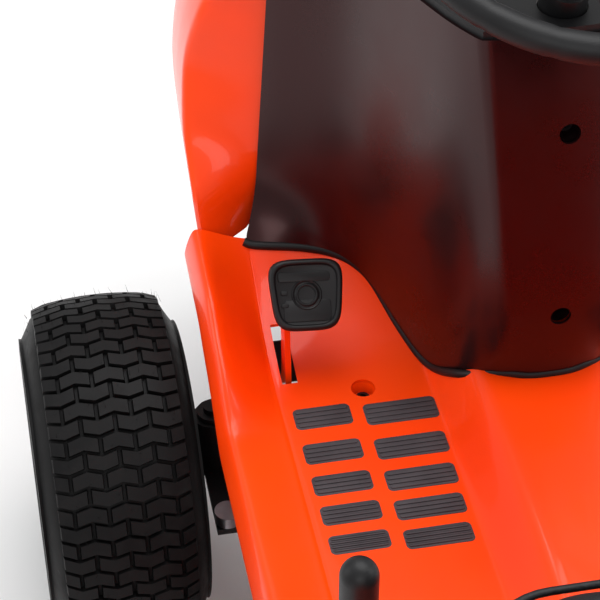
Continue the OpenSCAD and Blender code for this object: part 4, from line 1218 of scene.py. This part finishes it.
BACK_TILT = 14
back_x = (span("seat_back", 0)[1] - span("seat_back", 0)[0]) / 2
back_half = 155
back_thick = 62
seat_front = seat_mid + seat_y - 8
back_place = (Matrix.Translation(Vector((0, seat_front - 420, seat_low - 6.3)) * MM)
              @ Matrix.Rotation(math.radians(BACK_TILT), 4,
                                "X") @ Matrix.Translation(Vector((0, -1.5, 92 + 155)) * MM)
              @ Matrix.Rotation(math.radians(-90), 4, "X"))
back_shape = [(x * (1 - 0.13 * max(0.0, -y / back_half)), y) for x,
              y in outline(back_x - 12, back_half - 10, 66, 10)]
back_mesh = slab(back_shape, [(1, 0.9), (6, 0.97), (back_thick * 0.35, 1.0), (back_thick * 0.62, 0.99),
                              (back_thick * 0.78, 0.93), (back_thick * 0.84, 0.84)])
backrest = puffed("seat_back_soft", back_mesh, 12, 4)
for v in backrest.data.vertices:
    v.co.z = min(max(v.co.z, 0.0004), (back_thick - 0.5) * MM)
channels(backrest.data, (-112, 112), 0, 6.0, 7.0, back_thick * 0.55)
channels(backrest.data, (-60, 20), 1, 4.0, 6.0, back_thick * 0.66)
backrest.data.transform(back_place)
dress(backrest, seat_vinyl, "seat", "seat_vinyl", "seat_back")
back_line = [(x * 1.008, y * 1.008, back_thick * 0.5) for x, y in back_shape]
back_piping = settle("seat_back_piping", swept("back_piping", back_line, 3.2, 8, True), (), 60)
back_piping.data.transform(back_place)
dress(back_piping, seat_vinyl, "seat", "seat_vinyl")


# ---- finishes of the nodes that stay as they are ----
NODE_FINISH = {
    "frame_rails": frame_paint, "front_bumper": frame_paint, "pedal_shafts": bright_steel,
    "engine_block": engine_cast, "muffler": muffler_steel, "air_cleaner": black_plastic,
    "engine_pulley": blade_steel, "side_panels": black_plastic, "battery": black_plastic,
    "fuel_tank": tank_plastic, "fuel_cap": black_plastic, "transaxle": engine_cast,
    "hitch_plate": frame_paint, "dash_panel": black_plastic, "steering_column": black_plastic,
    "seat_rails": frame_paint, "taillight_lenses": red_lens, "front_grille": black_plastic,
    "headlight_lenses": clear_lens, "steering_shaft": bright_steel, "front_axle": frame_paint,
    "spindle_left": frame_paint, "spindle_right": frame_paint, "tie_rod": bright_steel,
    "rim_front_left": rim_paint, "rim_front_right": rim_paint, "rim_rear_left": rim_paint,
    "rim_rear_right": rim_paint, "brake_arm": body_paint, "drive_pedal": frame_paint,
    "lift_lever": black_plastic, "parking_lever": black_plastic, "seat_base": frame_paint,
    "seat_pan": frame_paint, "deck_shell": deck_paint, "spindle_housings": engine_cast,
    "blade_left": blade_steel, "blade_right": blade_steel, "deck_belt": belt_rubber,
    "chute_deflector": black_plastic, "deck_rollers": black_plastic, "ignition_key": bright_steel,
    "throttle_lever": black_plastic, "blade_switch": switch_yellow}
for node, finish in NODE_FINISH.items():
    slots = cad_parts[node].material_slots
    for slot in slots:
        slot.material = finish


# ---- floor and light ----
ground = raw("floor", [(-6000, -6000, -1), (6000, -6000, -1), (6000, 6000, -1), (-6000, 6000, -1)],
             [(0, 1, 2, 3)])
floor = settle("floor", ground)
pale = Finish("floor_white", Roughness=0.9)
pale.set({"Base Color": pale.mix(pale.noise(3.0), rgb(246, 246, 246), rgb(238, 238, 238))})
floor.data.materials.append(pale.material)


def lamp(name, place, aim, size, power, colour=(1, 1, 1)):
    data = bpy.data.lights.new(name, "AREA")
    data.shape = "RECTANGLE"
    data.size, data.size_y = size
    data.energy = power
    data.color = colour
    thing = bpy.data.objects.new(name, data)
    scene.collection.objects.link(thing)
    thing.location = place
    thing.rotation_euler = (Vector(aim) - Vector(place)).to_track_quat("-Z", "Y").to_euler()


lamp("softbox_top", (0.3, 0.6, 3.6), (0, 0.1, 0.4), (3.2, 2.4), 105)
lamp("softbox_left", (-3.2, 0.9, 1.9), (-0.2, 0.3, 0.4), (1.8, 2.2), 26)
lamp("softbox_right", (3.0, -0.4, 2.2), (0.1, 0.2, 0.4), (1.6, 2.0), 30)
lamp("softbox_back", (-0.8, -3.4, 2.4), (0, 0, 0.5), (2.4, 1.6), 34)
world = bpy.data.worlds.new("studio")
world.use_nodes = True
world.node_tree.nodes["Background"].inputs["Color"].default_value = (1.0, 1.0, 1.0, 1.0)
world.node_tree.nodes["Background"].inputs["Strength"].default_value = 0.55
scene.world = world

scene.view_settings.view_transform = "Standard"
